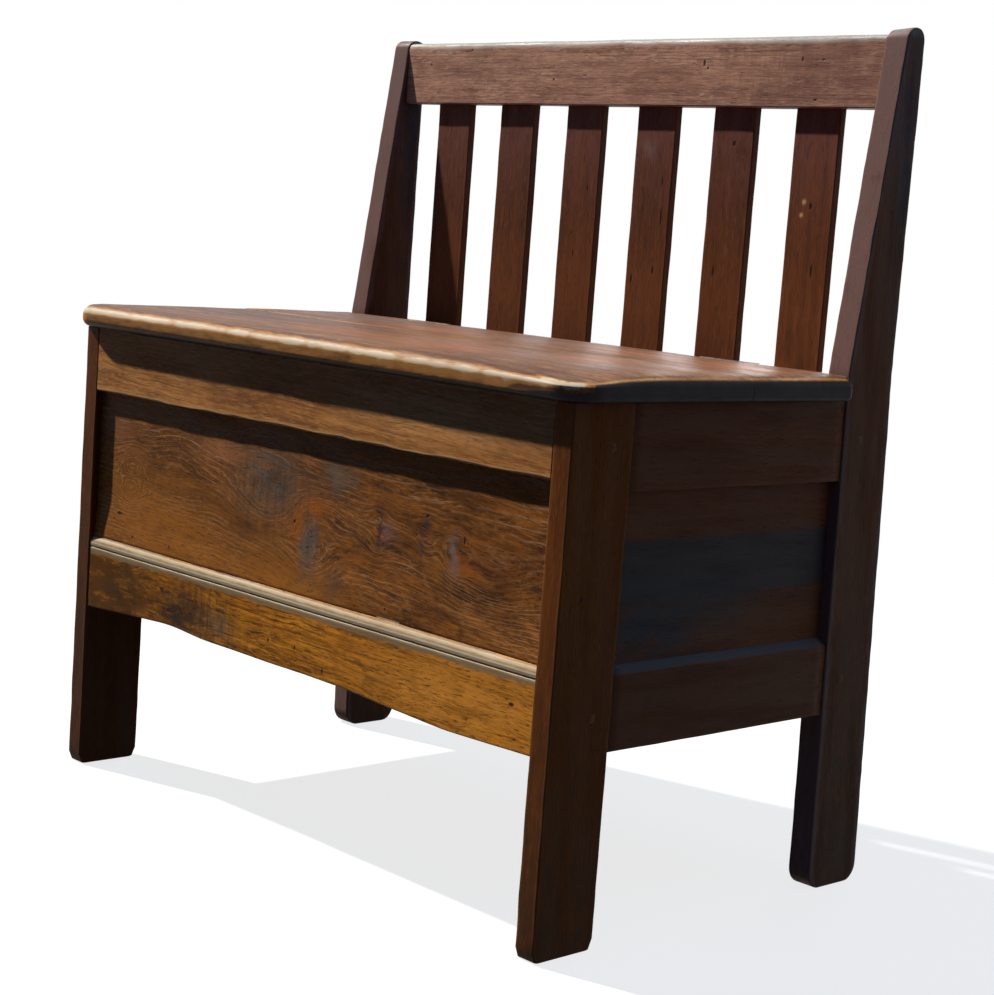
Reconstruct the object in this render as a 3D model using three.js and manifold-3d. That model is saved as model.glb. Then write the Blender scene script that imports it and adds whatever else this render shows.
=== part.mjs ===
// A small oak settle bench: two board-ended side frames, a panelled box under the seat, a slatted
// back, and a seat that lifts as the lid of the box. Millimetres, +Z up, the front faces -Y.
// Inside this file Y is measured backwards from the front face of the front stiles. The whole bench
// then moves forward, so that the origin lies on the floor in the middle of its overall size.
import * as THREE from 'three';
import { mergeVertices } from 'three/addons/utils/BufferGeometryUtils.js';
import Module from 'manifold-3d';

// Driving dimensions
const frameWidth = 733.2; // over the outer faces of the side frames
const seatHeight = 500;
const seatThickness = 23.5;
const backHeight = 823.7; // top of the rear posts
const postFrontDepth = 360.2; // from the front of the stiles to the rear posts, at seat height
const postWidth = 67.3; // rear posts along Y at seat height; the back edge is upright from there up
const postTopWidth = 26.5; // the rear posts end in a half round this wide
const postToeRake = 11.8; // front edge at the floor, behind the one at seat height
const postHeelRake = 18.5; // back edge at the floor, behind the one at seat height

// Stock sizes
const stileThickness = 22; // front stiles, along X
const stileWidth = 72.5; // front stiles, along Y
const postThickness = 25;
const railThickness = 20;
const frontRailThickness = 22;
const panelThickness = 9;
const slatWidth = 54;
const slatThickness = 9;

// Clearances
const fitGap = 0.2; // between faces that meet
const jointGap = 0.3; // between a tenon, tongue, peg or pin and the hole that it fits
const overrun = 5; // how far a cutter passes a face

// Joinery
const tenonThickness = 8;
const sideTenonLength = 30;
const blindTenonLength = 14; // tenons into the thickness of a stile or post
const tenonShoulder = 9; // rail left above and below a tenon
const grooveDepth = 8;
const pegRadius = 4.5;
const pegSetback = 24; // peg centre from the shoulder of its joint
const pegProud = 0.4;
const pegSides = 16;

// Heights of the rails, and the levels of the lower ones
const frontUpperRailHeight = 66.8;
const frontLowerRailBottom = 175.4;
const frontLowerRailHeight = 79.1; // with the run moulding
const sideUpperRailHeight = 76.6;
const sideLowerRailBottom = 174.3;
const sideLowerRailFaceHeight = 67.1; // up to where the bevel starts on the outer face
const sideLowerRailBevelRise = 7.6;
const crestDrop = 9.7; // top of the crest rail below the tops of the posts
const crestHeight = 66;
const backRailDrop = 10; // below the seat's surface, so that the seat's back edge hides the rail
const backUpperRailHeight = 78;
const backLowerRailBottom = 175;
const backLowerRailHeight = 66;

// Setbacks of faces
const frontUpperRailSetback = 0.5;
const frontLowerRailSetback = 1;
const frontPanelSetback = 8.5;
const frontPanelBow = 2.5; // the panel board comes forward this much near its foot
const frontPanelBowHeight = 45;
const sideUpperRailSetback = 2;
const sideLowerRailSetback = 2;
const sidePanelSetback = 11;
const crestThickness = 21;
const crestRound = 7;
const crestBackInset = 4.5; // back face of the crest rail, before the back of the posts
const slatInset = 5; // front face of the slats, behind the front face of the crest rail
const slatHousing = 12; // how far a slat goes into its rail
const slatCount = 6;

// Feet
const frontFootRound = 8;
const rearFootRound = 18;

// Moulding on the front lower rail, from its face upwards and backwards
const mouldingHeight = 14.2;
const mouldingStep = 2.2; // groove under the moulding
const mouldingNose = 3; // plain front of the moulding
const mouldingRise = 7; // the quarter round above the nose
const mouldingFillet = 1.6;

// The bottom edge of the front lower rail is worn into a wave: place along the rail, and lift
const wornEdgeLift = 9;
const wornEdgeShares = [
  [-1, 0], [-0.7, 0.68], [-0.55, 1], [-0.38, 0.54], [-0.08, 0.5],
  [0.12, 0.53], [0.31, 0.42], [0.44, 0.1], [0.68, -0.3], [1, 0],
];
const wornEdgeSteps = 36;

// Lid
const seatFrontOverhang = 12.8;
const seatEndOverhang = 13.6;
const seatCornerRadius = 32;
const seatNoseRadius = 11;
const seatFrontBoardWidth = 220.8; // up to the joint between the two planks
const lidRest = 0.3; // gap between the closed lid and the frame under it
const battenWidth = 28;
const battenThickness = 20;
const battenFrontInset = 15; // behind the front upper rail
const battenBackInset = 31; // before the lid's back edge
const battenEndInset = 55; // middle of a batten, from the inside of a stile

// Hinges
const hingeEndInset = 121; // middle of a hinge, from the inside of a stile
const hingeLength = 73;
const hingePinSetback = 3.7; // the pin's centre before the posts
const hingePinDrop = 3; // the pin's centre below the seat's surface
const hingePinRadius = 1.6;
const hingeLeafThickness = 1.6;
const hingeLeafBottomDrop = 18; // lower edge of a leaf below the pin
const hingeKnuckles = 5;
const hingeKnuckleGap = 0.25;
const hingeSides = 20;
const hingeScrewsPerLeaf = 2;
const hingeScrewLength = 17;
const hingeScrewHeightShare = 1 / 3; // of the leaf's height, from its lower edge

// Hinge ledge
const ledgeThickness = 22;
const ledgeHousing = 6;

// Floor of the box
const cleatSize = 20;
const cleatLift = 4; // above the lower edge of the front rail
const floorThickness = 12;
const floorBoards = 3;
const boardGap = 0.6;

// Hinge screws
const screwShankRadius = 1.7;
const screwHeadRadius = 3.2;
const screwHeadDepth = 1.5;
const fastenerSides = 12;

// Values worked out from the driving dimensions
const frameHalf = frameWidth / 2;
const stileInside = frameHalf - stileThickness;
const postInside = frameHalf - postThickness;
const postBackDepth = postFrontDepth + postWidth;
const postToeDepth = postFrontDepth + postToeRake;
const postHeelDepth = postBackDepth + postHeelRake;
const crestDepth = postBackDepth - crestBackInset - crestThickness;
const slatDepth = crestDepth + slatInset;
const hingePinDepth = postFrontDepth - hingePinSetback;
const seatUnderside = seatHeight - seatThickness;
const frameTop = seatUnderside - lidRest;
const frontUpperRailBottom = frameTop - frontUpperRailHeight;
const frontLowerRailTop = frontLowerRailBottom + frontLowerRailHeight;
const sideUpperRailBottom = frameTop - sideUpperRailHeight;
const sideLowerRailFaceTop = sideLowerRailBottom + sideLowerRailFaceHeight;
const sideLowerRailTop = sideLowerRailFaceTop + sideLowerRailBevelRise;
const crestTop = backHeight - crestDrop;
const crestBottom = crestTop - crestHeight;
const backRailTop = seatHeight - backRailDrop;
const backRailBottom = backRailTop - backUpperRailHeight;
const backLowerRailTop = backLowerRailBottom + backLowerRailHeight;
const hingeKnuckleRadius = hingePinRadius + hingeLeafThickness;
const hingePinHeight = seatHeight - hingePinDrop;
const seatBackDepth = hingePinDepth - hingePinRadius;
const ledgeFrontDepth = hingePinDepth + hingePinRadius;
const benchFront = -seatFrontOverhang;
const seatJointDepth = benchFront + seatFrontBoardWidth;
const heelSlope = postHeelRake / seatHeight;
const heelRoundTop = postHeelDepth - heelSlope * rearFootRound; // the bench's furthest point back
const benchMiddleDepth = (benchFront + heelRoundTop) / 2;
const arcSteps = 8;

const wasm = await Module();
wasm.setup();

// Colours read from the photograph
function oak(colour, roughness = 0.55) {
  return new THREE.MeshStandardMaterial({ color: colour, roughness, metalness: 0 });
}
function iron() {
  return new THREE.MeshStandardMaterial({ color: 0x4a4440, roughness: 0.5, metalness: 0.9 });
}
const seatOak = () => oak(0x96705a, 0.35);
const panelOak = () => oak(0x7a4d2a, 0.45);
const railOak = () => oak(0x8a5f38);
const slatOak = () => oak(0x55301f);
const crestOak = () => oak(0x7a5546);
const frameOak = () => oak(0x4b2f1d);
const insideOak = () => oak(0x6b4c33, 0.7);

// A closed geometry as a solid that can be joined and cut
function solidOf(geometry) {
  geometry.deleteAttribute('normal');
  geometry.deleteAttribute('uv');
  const merged = mergeVertices(geometry);
  return new wasm.Manifold(new wasm.Mesh({
    numProp: 3,
    vertProperties: merged.attributes.position.array,
    triVerts: new Uint32Array(merged.index.array),
  }));
}

function geometryOf(solid) {
  const { vertProperties, triVerts } = solid.getMesh();
  const geometry = new THREE.BufferGeometry();
  geometry.setAttribute('position', new THREE.BufferAttribute(vertProperties, 3));
  geometry.setIndex(new THREE.BufferAttribute(triVerts, 1));
  geometry.computeVertexNormals();
  return geometry;
}

function cut(solid, cutters) {
  return cutters.reduce((left, cutter) => left.subtract(cutter), solid);
}

function joined(solids) {
  return solids.reduce((whole, solid) => whole.add(solid));
}

// A square-edged piece between two corners
function block([x0, y0, z0], [x1, y1, z1]) {
  const geometry = new THREE.BoxGeometry(x1 - x0, y1 - y0, z1 - z0);
  geometry.translate((x0 + x1) / 2, (y0 + y1) / 2, (z0 + z1) / 2);
  return solidOf(geometry);
}

function outline(points) {
  return new THREE.Shape(points.map(([across, up]) => new THREE.Vector2(across, up)));
}

function extruded(shape, length) {
  return new THREE.ExtrudeGeometry(shape, { depth: length, bevelEnabled: false, curveSegments: arcSteps });
}

// An outline drawn in (Y, Z), run along X
function alongX(shape, x0, x1) {
  const geometry = extruded(shape, x1 - x0);
  const axes = new THREE.Matrix4().makeBasis(
    new THREE.Vector3(0, 1, 0), new THREE.Vector3(0, 0, 1), new THREE.Vector3(1, 0, 0),
  );
  geometry.applyMatrix4(axes);
  geometry.translate(x0, 0, 0);
  return solidOf(geometry);
}

// An outline drawn in (X, Z), run along Y
function alongY(shape, y0, y1) {
  const geometry = extruded(shape, y1 - y0);
  const axes = new THREE.Matrix4().makeBasis(
    new THREE.Vector3(1, 0, 0), new THREE.Vector3(0, 0, 1), new THREE.Vector3(0, -1, 0),
  );
  geometry.applyMatrix4(axes);
  geometry.translate(0, y1, 0);
  return solidOf(geometry);
}

// A turned piece on the +Z axis, from a list of [radius, height] that starts and ends on the axis
function turned(profile, sides) {
  const geometry = new THREE.LatheGeometry(profile.map(([r, z]) => new THREE.Vector2(r, z)), sides);
  geometry.rotateX(Math.PI / 2);
  return solidOf(geometry);
}

// A round bar between two ends. The bar is lathed on +Z and then turned onto its own direction.
function bar(start, end, radius, sides) {
  const from = new THREE.Vector3(...start);
  const direction = new THREE.Vector3(...end).sub(from);
  const length = direction.length();
  return aimed(turned([[0, 0], [radius, 0], [radius, length], [0, length]], sides), from, direction);
}

function aimed(solid, from, direction) {
  const turn = new THREE.Quaternion().setFromUnitVectors(
    new THREE.Vector3(0, 0, 1), direction.clone().normalize(),
  );
  const placed = new THREE.Matrix4().compose(from, turn, new THREE.Vector3(1, 1, 1));
  return solid.transform([...placed.elements]);
}

// The same solid on the other end of the bench
function mirrored(solid) {
  return solid.mirror([1, 0, 0]);
}

// A hinge screw with its countersunk head at the place given, or the hole that takes it
function hingeScrew([place, direction], grow = 0) {
  const head = screwHeadRadius + grow;
  const shank = screwShankRadius + grow;
  const tip = hingeScrewLength + grow;
  const crown = grow > 0 ? [[0, -grow], [head, -grow]] : [[0, 0]];
  const profile = [...crown, [head, 0], [shank, screwHeadDepth], [shank, tip], [0, tip]];
  const screw = turned(profile, fastenerSides);
  return aimed(screw, new THREE.Vector3(...place), new THREE.Vector3(...direction));
}

function hingeScrewHoles(screws) {
  return screws.map((screw) => hingeScrew(screw, jointGap));
}

// Edges of the rear posts
function postFrontAt(height) {
  return postToeDepth - postToeRake * height / seatHeight;
}

function postOutline() {
  const radius = postTopWidth / 2;
  const centre = new THREE.Vector2(postBackDepth - radius, backHeight - radius);
  const seatPoint = new THREE.Vector2(postFrontDepth, seatHeight);
  const toCentre = centre.clone().sub(seatPoint);
  const lean = toCentre.angle() + Math.asin(radius / toCentre.length());
  const shape = new THREE.Shape();
  shape.moveTo(postToeDepth + rearFootRound, 0);
  shape.lineTo(postHeelDepth - rearFootRound, 0);
  shape.quadraticCurveTo(postHeelDepth, 0, heelRoundTop, rearFootRound);
  shape.lineTo(postBackDepth, seatHeight);
  shape.lineTo(postBackDepth, centre.y);
  shape.absarc(centre.x, centre.y, radius, 0, lean + Math.PI / 2, false);
  shape.lineTo(postFrontDepth, seatHeight);
  shape.lineTo(postFrontAt(rearFootRound), rearFootRound);
  shape.quadraticCurveTo(postToeDepth, 0, postToeDepth + rearFootRound, 0);
  return shape;
}

function stileOutline() {
  const shape = new THREE.Shape();
  shape.moveTo(frontFootRound, 0);
  shape.lineTo(stileWidth - frontFootRound, 0);
  shape.absarc(stileWidth - frontFootRound, frontFootRound, frontFootRound, -Math.PI / 2, 0, false);
  shape.lineTo(stileWidth, frameTop);
  shape.lineTo(0, frameTop);
  shape.lineTo(0, frontFootRound);
  shape.absarc(frontFootRound, frontFootRound, frontFootRound, Math.PI, Math.PI * 3 / 2, false);
  return shape;
}

// A side rail between the stile and the raked edge of the post, in (Y, Z)
function sideRailOutline(bottom, top) {
  const front = stileWidth + fitGap;
  return outline([
    [front, bottom],
    [postFrontAt(bottom) - fitGap, bottom],
    [postFrontAt(top) - fitGap, top],
    [front, top],
  ]);
}

// Tenons of a side rail: the tongue runs through the rail, so both ends come from one block
function sideTenon(bottom, top, outerFace, grow = 0) {
  const middle = outerFace - railThickness / 2;
  const length = sideTenonLength + grow;
  const low = bottom + tenonShoulder - grow;
  const high = top - tenonShoulder + grow;
  const shape = outline([
    [stileWidth - length, low],
    [postFrontAt(low) + length, low],
    [postFrontAt(high) + length, high],
    [stileWidth - length, high],
  ]);
  return alongX(shape, middle - tenonThickness / 2 - grow, middle + tenonThickness / 2 + grow);
}

const upperRailFace = frameHalf - sideUpperRailSetback;
const lowerRailFace = frameHalf - sideLowerRailSetback;
const sidePanelFace = frameHalf - sidePanelSetback;

function upperSideTenon(grow = 0) {
  return sideTenon(sideUpperRailBottom, frameTop, upperRailFace, grow);
}

function lowerSideTenon(grow = 0) {
  return sideTenon(sideLowerRailBottom, sideLowerRailFaceTop, lowerRailFace, grow);
}

// Pegs through the tenons of one side frame, as [Y, Z] places
const pegPlaces = [[sideUpperRailBottom, frameTop], [sideLowerRailBottom, sideLowerRailFaceTop]]
  .map(([bottom, top]) => (bottom + top) / 2)
  .flatMap((height) => [
    [stileWidth - pegSetback, height],
    [postFrontAt(height) + pegSetback, height],
  ]);

// A stile is thinner than a post, and a peg is as long as the wood that it goes through
function pegBars(grow = 0) {
  return pegPlaces.map(([depth, height]) => bar(
    [(depth < stileWidth ? stileInside : postInside) - grow, depth, height],
    [frameHalf + pegProud + grow, depth, height],
    pegRadius + grow,
    pegSides,
  ));
}

// The side panel, in its grooves
function sidePanel(grow = 0) {
  const low = sideLowerRailFaceTop - grooveDepth + jointGap - grow;
  const high = sideUpperRailBottom + grooveDepth - jointGap + grow;
  const reach = grooveDepth - jointGap + grow;
  const shape = outline([
    [stileWidth - reach, low],
    [postFrontAt(low) + reach, low],
    [postFrontAt(high) + reach, high],
    [stileWidth - reach, high],
  ]);
  return alongX(shape, sidePanelFace - panelThickness - grow, sidePanelFace + grow);
}

function sideUpperRail() {
  const body = alongX(
    sideRailOutline(sideUpperRailBottom, frameTop), upperRailFace - railThickness, upperRailFace,
  );
  return cut(body.add(upperSideTenon()), [sidePanel(jointGap), ...pegBars(jointGap)]);
}

// The top edge of the lower rail slopes up from its face to the panel
function sideLowerRail() {
  const inner = lowerRailFace - railThickness;
  const body = alongX(
    sideRailOutline(sideLowerRailBottom, sideLowerRailTop), inner, lowerRailFace,
  );
  const bevel = alongY(outline([
    [sidePanelFace + jointGap, sideLowerRailTop + overrun],
    [sidePanelFace + jointGap, sideLowerRailTop],
    [lowerRailFace, sideLowerRailFaceTop],
    [lowerRailFace + overrun, sideLowerRailFaceTop],
    [lowerRailFace + overrun, sideLowerRailTop + overrun],
  ]), stileWidth - overrun, postHeelDepth);
  return cut(body.add(lowerSideTenon()), [
    bevel, sidePanel(jointGap), ...pegBars(jointGap),
  ]);
}

// Evenly spaced values between two ends, ends included
function spread(count, from, to) {
  return Array.from({ length: count }, (unused, index) => from + (to - from) * index / (count - 1));
}

// Front frame
const frontRailBack = frontUpperRailSetback + frontRailThickness;
const lowerFrontBack = frontLowerRailSetback + frontRailThickness;
const frontRailHalf = stileInside - fitGap;

function frontTenon(bottom, top, face, grow = 0) {
  const middle = face + frontRailThickness / 2;
  const half = stileInside + blindTenonLength + grow;
  return block(
    [-half, middle - tenonThickness / 2 - grow, bottom + tenonShoulder - grow],
    [half, middle + tenonThickness / 2 + grow, top - tenonShoulder + grow],
  );
}

const upperFrontTenon = (grow = 0) => frontTenon(
  frontUpperRailBottom, frameTop, frontUpperRailSetback, grow,
);
const lowerFrontTenon = (grow = 0) => frontTenon(
  frontLowerRailBottom, frontLowerRailTop - mouldingHeight, frontLowerRailSetback, grow,
);

// The front panel is a flat board whose foot comes forward in a smooth bow
function frontPanel(grow = 0) {
  const low = frontLowerRailTop - grooveDepth + jointGap - grow;
  const high = frontUpperRailBottom + grooveDepth - jointGap + grow;
  const bowTop = frontLowerRailTop + frontPanelBowHeight;
  const bowMiddle = (low + bowTop) / 2;
  const face = frontPanelSetback - grow;
  const back = frontPanelSetback + panelThickness + grow;
  const shape = new THREE.Shape();
  shape.moveTo(face, high);
  shape.lineTo(face, bowTop);
  shape.bezierCurveTo(face, bowMiddle, face - frontPanelBow, bowMiddle, face - frontPanelBow, low);
  shape.lineTo(back - frontPanelBow, low);
  shape.bezierCurveTo(back - frontPanelBow, bowMiddle, back, bowMiddle, back, bowTop);
  shape.lineTo(back, high);
  const half = stileInside + grooveDepth - jointGap + grow;
  return alongX(shape, -half, half);
}

function frontUpperRail() {
  const body = block(
    [-frontRailHalf, frontUpperRailSetback, frontUpperRailBottom],
    [frontRailHalf, frontRailBack, frameTop],
  );
  return cut(body.add(upperFrontTenon()), [frontPanel(jointGap)]);
}

// Profile of the lower rail with its moulding: plain nose, quarter round and a top fillet
function lowerFrontOutline() {
  const face = frontLowerRailSetback;
  const mouldingBottom = frontLowerRailTop - mouldingHeight;
  const noseTop = mouldingBottom + mouldingStep + mouldingNose;
  const roundTop = frontLowerRailTop - mouldingFillet;
  const shape = new THREE.Shape();
  shape.moveTo(face, frontLowerRailBottom - wornEdgeLift);
  shape.lineTo(face, mouldingBottom);
  shape.lineTo(face + mouldingStep / 2, mouldingBottom + mouldingStep / 2);
  shape.lineTo(face, mouldingBottom + mouldingStep);
  shape.lineTo(face, noseTop);
  shape.bezierCurveTo(
    face, (noseTop + roundTop) / 2,
    face + mouldingRise / 2, roundTop,
    face + mouldingRise - mouldingFillet, roundTop,
  );
  shape.lineTo(face + mouldingRise - mouldingFillet, frontLowerRailTop);
  shape.lineTo(lowerFrontBack, frontLowerRailTop);
  shape.lineTo(lowerFrontBack, frontLowerRailBottom - wornEdgeLift);
  return shape;
}

// What wear has taken from the bottom edge
function wornEdgeCutter() {
  const curve = new THREE.SplineCurve(wornEdgeShares.map(([along, lift]) => new THREE.Vector2(
    along * frontRailHalf, frontLowerRailBottom + lift * wornEdgeLift,
  )));
  const edge = curve.getPoints(wornEdgeSteps);
  const shape = new THREE.Shape([
    ...edge,
    new THREE.Vector2(frontRailHalf + overrun, frontLowerRailBottom),
    new THREE.Vector2(frontRailHalf + overrun, frontLowerRailBottom - wornEdgeLift - overrun),
    new THREE.Vector2(-frontRailHalf - overrun, frontLowerRailBottom - wornEdgeLift - overrun),
    new THREE.Vector2(-frontRailHalf - overrun, frontLowerRailBottom),
  ]);
  return alongY(shape, -overrun, lowerFrontBack + overrun);
}

function frontLowerRail() {
  const body = alongX(lowerFrontOutline(), -frontRailHalf, frontRailHalf);
  const shaped = cut(body, [wornEdgeCutter()]);
  return cut(shaped.add(lowerFrontTenon()), [frontPanel(jointGap)]);
}

// Back of the bench: crest rail, slats, two rails, panel and the ledge for the hinges
const backRailHalf = postInside - fitGap;

function backTenon(bottom, top, grow = 0) {
  const middle = crestDepth + crestThickness / 2;
  const half = postInside + blindTenonLength + grow;
  return block(
    [-half, middle - tenonThickness / 2 - grow, bottom + tenonShoulder - grow],
    [half, middle + tenonThickness / 2 + grow, top - tenonShoulder + grow],
  );
}

function backRailBlock(bottom, top) {
  return block(
    [-backRailHalf, crestDepth, bottom],
    [backRailHalf, crestDepth + crestThickness, top],
  );
}

// Middles of the slats: equal gaps between the posts and from slat to slat
const slatGap = (2 * postInside - slatCount * slatWidth) / (slatCount + 1);
const slatMiddles = Array.from(
  { length: slatCount },
  (unused, index) => -postInside + slatGap + slatWidth / 2 + index * (slatGap + slatWidth),
);

function slat(middle, grow = 0) {
  const reach = slatHousing - jointGap + grow;
  return block(
    [middle - slatWidth / 2 - grow, slatDepth - grow, backRailTop - reach],
    [middle + slatWidth / 2 + grow, slatDepth + slatThickness + grow, crestBottom + reach],
  );
}

function slatMortises() {
  return slatMiddles.map((middle) => slat(middle, jointGap));
}

function crestRail() {
  const back = crestDepth + crestThickness;
  const roundStart = crestTop - crestRound;
  const shape = new THREE.Shape();
  shape.moveTo(crestDepth, crestBottom);
  shape.lineTo(crestDepth, roundStart);
  shape.absarc(crestDepth + crestRound, roundStart, crestRound, Math.PI, Math.PI / 2, true);
  shape.absarc(back - crestRound, roundStart, crestRound, Math.PI / 2, 0, true);
  shape.lineTo(back, crestBottom);
  const body = alongX(shape, -backRailHalf, backRailHalf);
  return cut(body.add(backTenon(crestBottom, crestTop)), slatMortises());
}

function backPanel(grow = 0) {
  const reach = grooveDepth - jointGap + grow;
  return block(
    [-postInside - reach, slatDepth - grow, backLowerRailTop - reach],
    [postInside + reach, slatDepth + panelThickness + grow, backRailBottom + reach],
  );
}

function backUpperRail() {
  const body = backRailBlock(backRailBottom, backRailTop);
  const tenoned = body.add(backTenon(backRailBottom, backRailTop));
  return cut(tenoned, [...slatMortises(), backPanel(jointGap)]);
}

function backLowerRail() {
  const body = backRailBlock(backLowerRailBottom, backLowerRailTop);
  const tenoned = body.add(backTenon(backLowerRailBottom, backLowerRailTop));
  return cut(tenoned, [backPanel(jointGap)]);
}

function ledgeBlock(grow = 0) {
  const half = postInside + ledgeHousing - fitGap + grow;
  return block(
    [-half, ledgeFrontDepth - grow, backRailTop - ledgeThickness - grow],
    [half, crestDepth - fitGap + grow, backRailTop + grow],
  );
}

// Beyond the fronts of the posts the ledge would show, so its ends start behind them
function hingeLedge() {
  const postShoulder = postFrontDepth + ledgeHousing;
  const corner = block(
    [backRailHalf, ledgeFrontDepth - overrun, backRailTop - ledgeThickness - overrun],
    [frameHalf, postShoulder, backRailTop + overrun],
  );
  return cut(ledgeBlock(), [
    corner, mirrored(corner), ...hingePockets(ledgePocket), ...hingeScrewHoles(ledgeScrews),
  ]);
}

// Side frame members that take all these joints
function frontStile() {
  const body = alongX(stileOutline(), stileInside, frameHalf);
  return cut(body, [
    upperSideTenon(jointGap), lowerSideTenon(jointGap), sidePanel(jointGap),
    upperFrontTenon(jointGap), lowerFrontTenon(jointGap), frontPanel(jointGap),
    ...pegBars(jointGap),
  ]);
}

function rearPost() {
  const body = alongX(postOutline(), postInside, frameHalf);
  const ledgeEnd = ledgeBlock(jointGap).intersect(block(
    [0, postFrontDepth + ledgeHousing - jointGap, 0],
    [frameHalf, postHeelDepth, backHeight],
  ));
  return cut(body, [
    upperSideTenon(jointGap), lowerSideTenon(jointGap), sidePanel(jointGap),
    backTenon(crestBottom, crestTop, jointGap),
    backTenon(backRailBottom, backRailTop, jointGap),
    backTenon(backLowerRailBottom, backLowerRailTop, jointGap),
    backPanel(jointGap), ledgeEnd,
    ...pegBars(jointGap),
  ]);
}

// Floor of the box
const cleatBottom = frontLowerRailBottom + cleatLift + wornEdgeLift;
const cleatTop = cleatBottom + cleatSize;
const floorBottom = cleatTop + fitGap;
const floorFrontDepth = lowerFrontBack + fitGap;
const floorBackDepth = crestDepth - fitGap;
const sideRailInside = lowerRailFace - railThickness;
const endCleatOuter = sideRailInside - fitGap;
const endCleatInner = endCleatOuter - cleatSize;
const frontCleatBack = floorFrontDepth + cleatSize;
const backCleatFront = floorBackDepth - cleatSize;
const endCleatBackDepth = postFrontAt(cleatTop) - fitGap;
const frontCleatHalf = stileInside - fitGap;
const boardPitch = (floorBackDepth - floorFrontDepth + boardGap) / floorBoards;

function floorBoard(index) {
  const start = floorFrontDepth + index * boardPitch;
  return block(
    [-backRailHalf, start, floorBottom],
    [backRailHalf, start + boardPitch - boardGap, floorBottom + floorThickness],
  );
}

function frontCleat() {
  return block(
    [-frontCleatHalf, floorFrontDepth, cleatBottom], [frontCleatHalf, frontCleatBack, cleatTop],
  );
}

function backCleat() {
  return block(
    [-backRailHalf, backCleatFront, cleatBottom], [backRailHalf, floorBackDepth, cleatTop],
  );
}

function endCleat() {
  return block(
    [endCleatInner, frontCleatBack + fitGap, cleatBottom], [endCleatOuter, endCleatBackDepth, cleatTop],
  );
}

// The lid: one slab with round edges, parted at the joint between its planks
const seatHalf = frameHalf + seatEndOverhang;

function seatSlab() {
  const radius = seatCornerRadius;
  const back = seatBackDepth + 2 * seatNoseRadius;
  const shape = new THREE.Shape();
  shape.moveTo(-seatHalf, back);
  shape.lineTo(-seatHalf, benchFront + radius);
  shape.absarc(-seatHalf + radius, benchFront + radius, radius, Math.PI, Math.PI * 3 / 2, false);
  shape.absarc(seatHalf - radius, benchFront + radius, radius, Math.PI * 3 / 2, Math.PI * 2, false);
  shape.lineTo(seatHalf, back);
  const geometry = new THREE.ExtrudeGeometry(shape, {
    depth: seatThickness - 2 * seatNoseRadius,
    bevelThickness: seatNoseRadius,
    bevelSize: seatNoseRadius,
    bevelOffset: -seatNoseRadius,
    bevelSegments: arcSteps / 2,
    curveSegments: arcSteps,
  });
  geometry.translate(0, 0, seatUnderside + seatNoseRadius);
  return solidOf(geometry);
}

const battenTop = seatUnderside - fitGap;

function seatPart(fromDepth, toDepth) {
  const part = seatSlab().intersect(block(
    [-seatHalf - overrun, fromDepth, seatUnderside - overrun],
    [seatHalf + overrun, toDepth, seatHeight + overrun],
  ));
  return cut(part, [
    ...hingePockets(seatPocket), ...hingeScrewHoles(lidScrews),
  ]);
}

function lidBatten() {
  const middle = stileInside - battenEndInset;
  return block(
    [middle - battenWidth / 2, frontRailBack + battenFrontInset, battenTop - battenThickness],
    [middle + battenWidth / 2, seatBackDepth - battenBackInset, battenTop],
  );
}

// Butt hinges. The leaves hang from the pin and face each other across the joint.
const hingeMiddles = [hingeEndInset - stileInside, stileInside - hingeEndInset];
const knuckleLength = (hingeLength + hingeKnuckleGap) / hingeKnuckles;
const leafBottom = hingePinHeight - hingeLeafBottomDrop;
const leafTop = hingePinHeight - hingeKnuckleRadius - 2 * jointGap;
const leafScrewHeight = leafBottom + hingeScrewHeightShare * (leafTop - leafBottom);
const lidSide = -1;
const ledgeSide = 1;

function hingeScrewPlacesOn(side) {
  const inset = knuckleLength / 2;
  return hingeMiddles.flatMap((middle) => spread(
    hingeScrewsPerLeaf, middle - hingeLength / 2 + inset, middle + hingeLength / 2 - inset,
  ).map((x) => [[x, hingePinDepth + side * hingePinRadius, leafScrewHeight], [0, side, 0]]));
}
const lidScrews = hingeScrewPlacesOn(lidSide);
const ledgeScrews = hingeScrewPlacesOn(ledgeSide);

function ordered(a, b) {
  return [Math.min(a, b), Math.max(a, b)];
}

// A bar on the hinges' axis
function pinBar(x0, x1, radius) {
  return bar(
    [x0, hingePinDepth, hingePinHeight], [x1, hingePinDepth, hingePinHeight], radius, hingeSides,
  );
}

// One leaf of the hinge whose middle is given. Its knuckles take every second place along the pin.
function hingeLeaf(middle, side, firstKnuckle) {
  const [near, far] = ordered(
    hingePinDepth + side * hingePinRadius, hingePinDepth + side * hingeKnuckleRadius,
  );
  const start = middle - hingeLength / 2;
  const plate = block([start, near, leafBottom], [start + hingeLength, far, leafTop]);
  const places = Array.from({ length: hingeKnuckles }, (unused, index) => index)
    .filter((index) => index % 2 === firstKnuckle);
  const knuckles = places.flatMap((index) => {
    const x0 = start + index * knuckleLength;
    const x1 = x0 + knuckleLength - hingeKnuckleGap;
    return [
      block([x0, near, leafTop], [x1, far, hingePinHeight]),
      pinBar(x0, x1, hingeKnuckleRadius),
    ];
  });
  const bore = pinBar(start - overrun, start + hingeLength + overrun, hingePinRadius);
  const screws = side === lidSide ? lidScrews : ledgeScrews;
  return cut(joined([plate, ...knuckles]), [bore, ...hingeScrewHoles(screws)]);
}

function hingePin(middle) {
  return pinBar(middle - hingeLength / 2, middle + hingeLength / 2, hingePinRadius - jointGap);
}

// The pockets in the lid's back edge and the ledge's front edge
function hingePockets(pocket) {
  return hingeMiddles.map((middle) => pocket(
    middle - hingeLength / 2 - jointGap, middle + hingeLength / 2 + jointGap,
  ));
}

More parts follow.
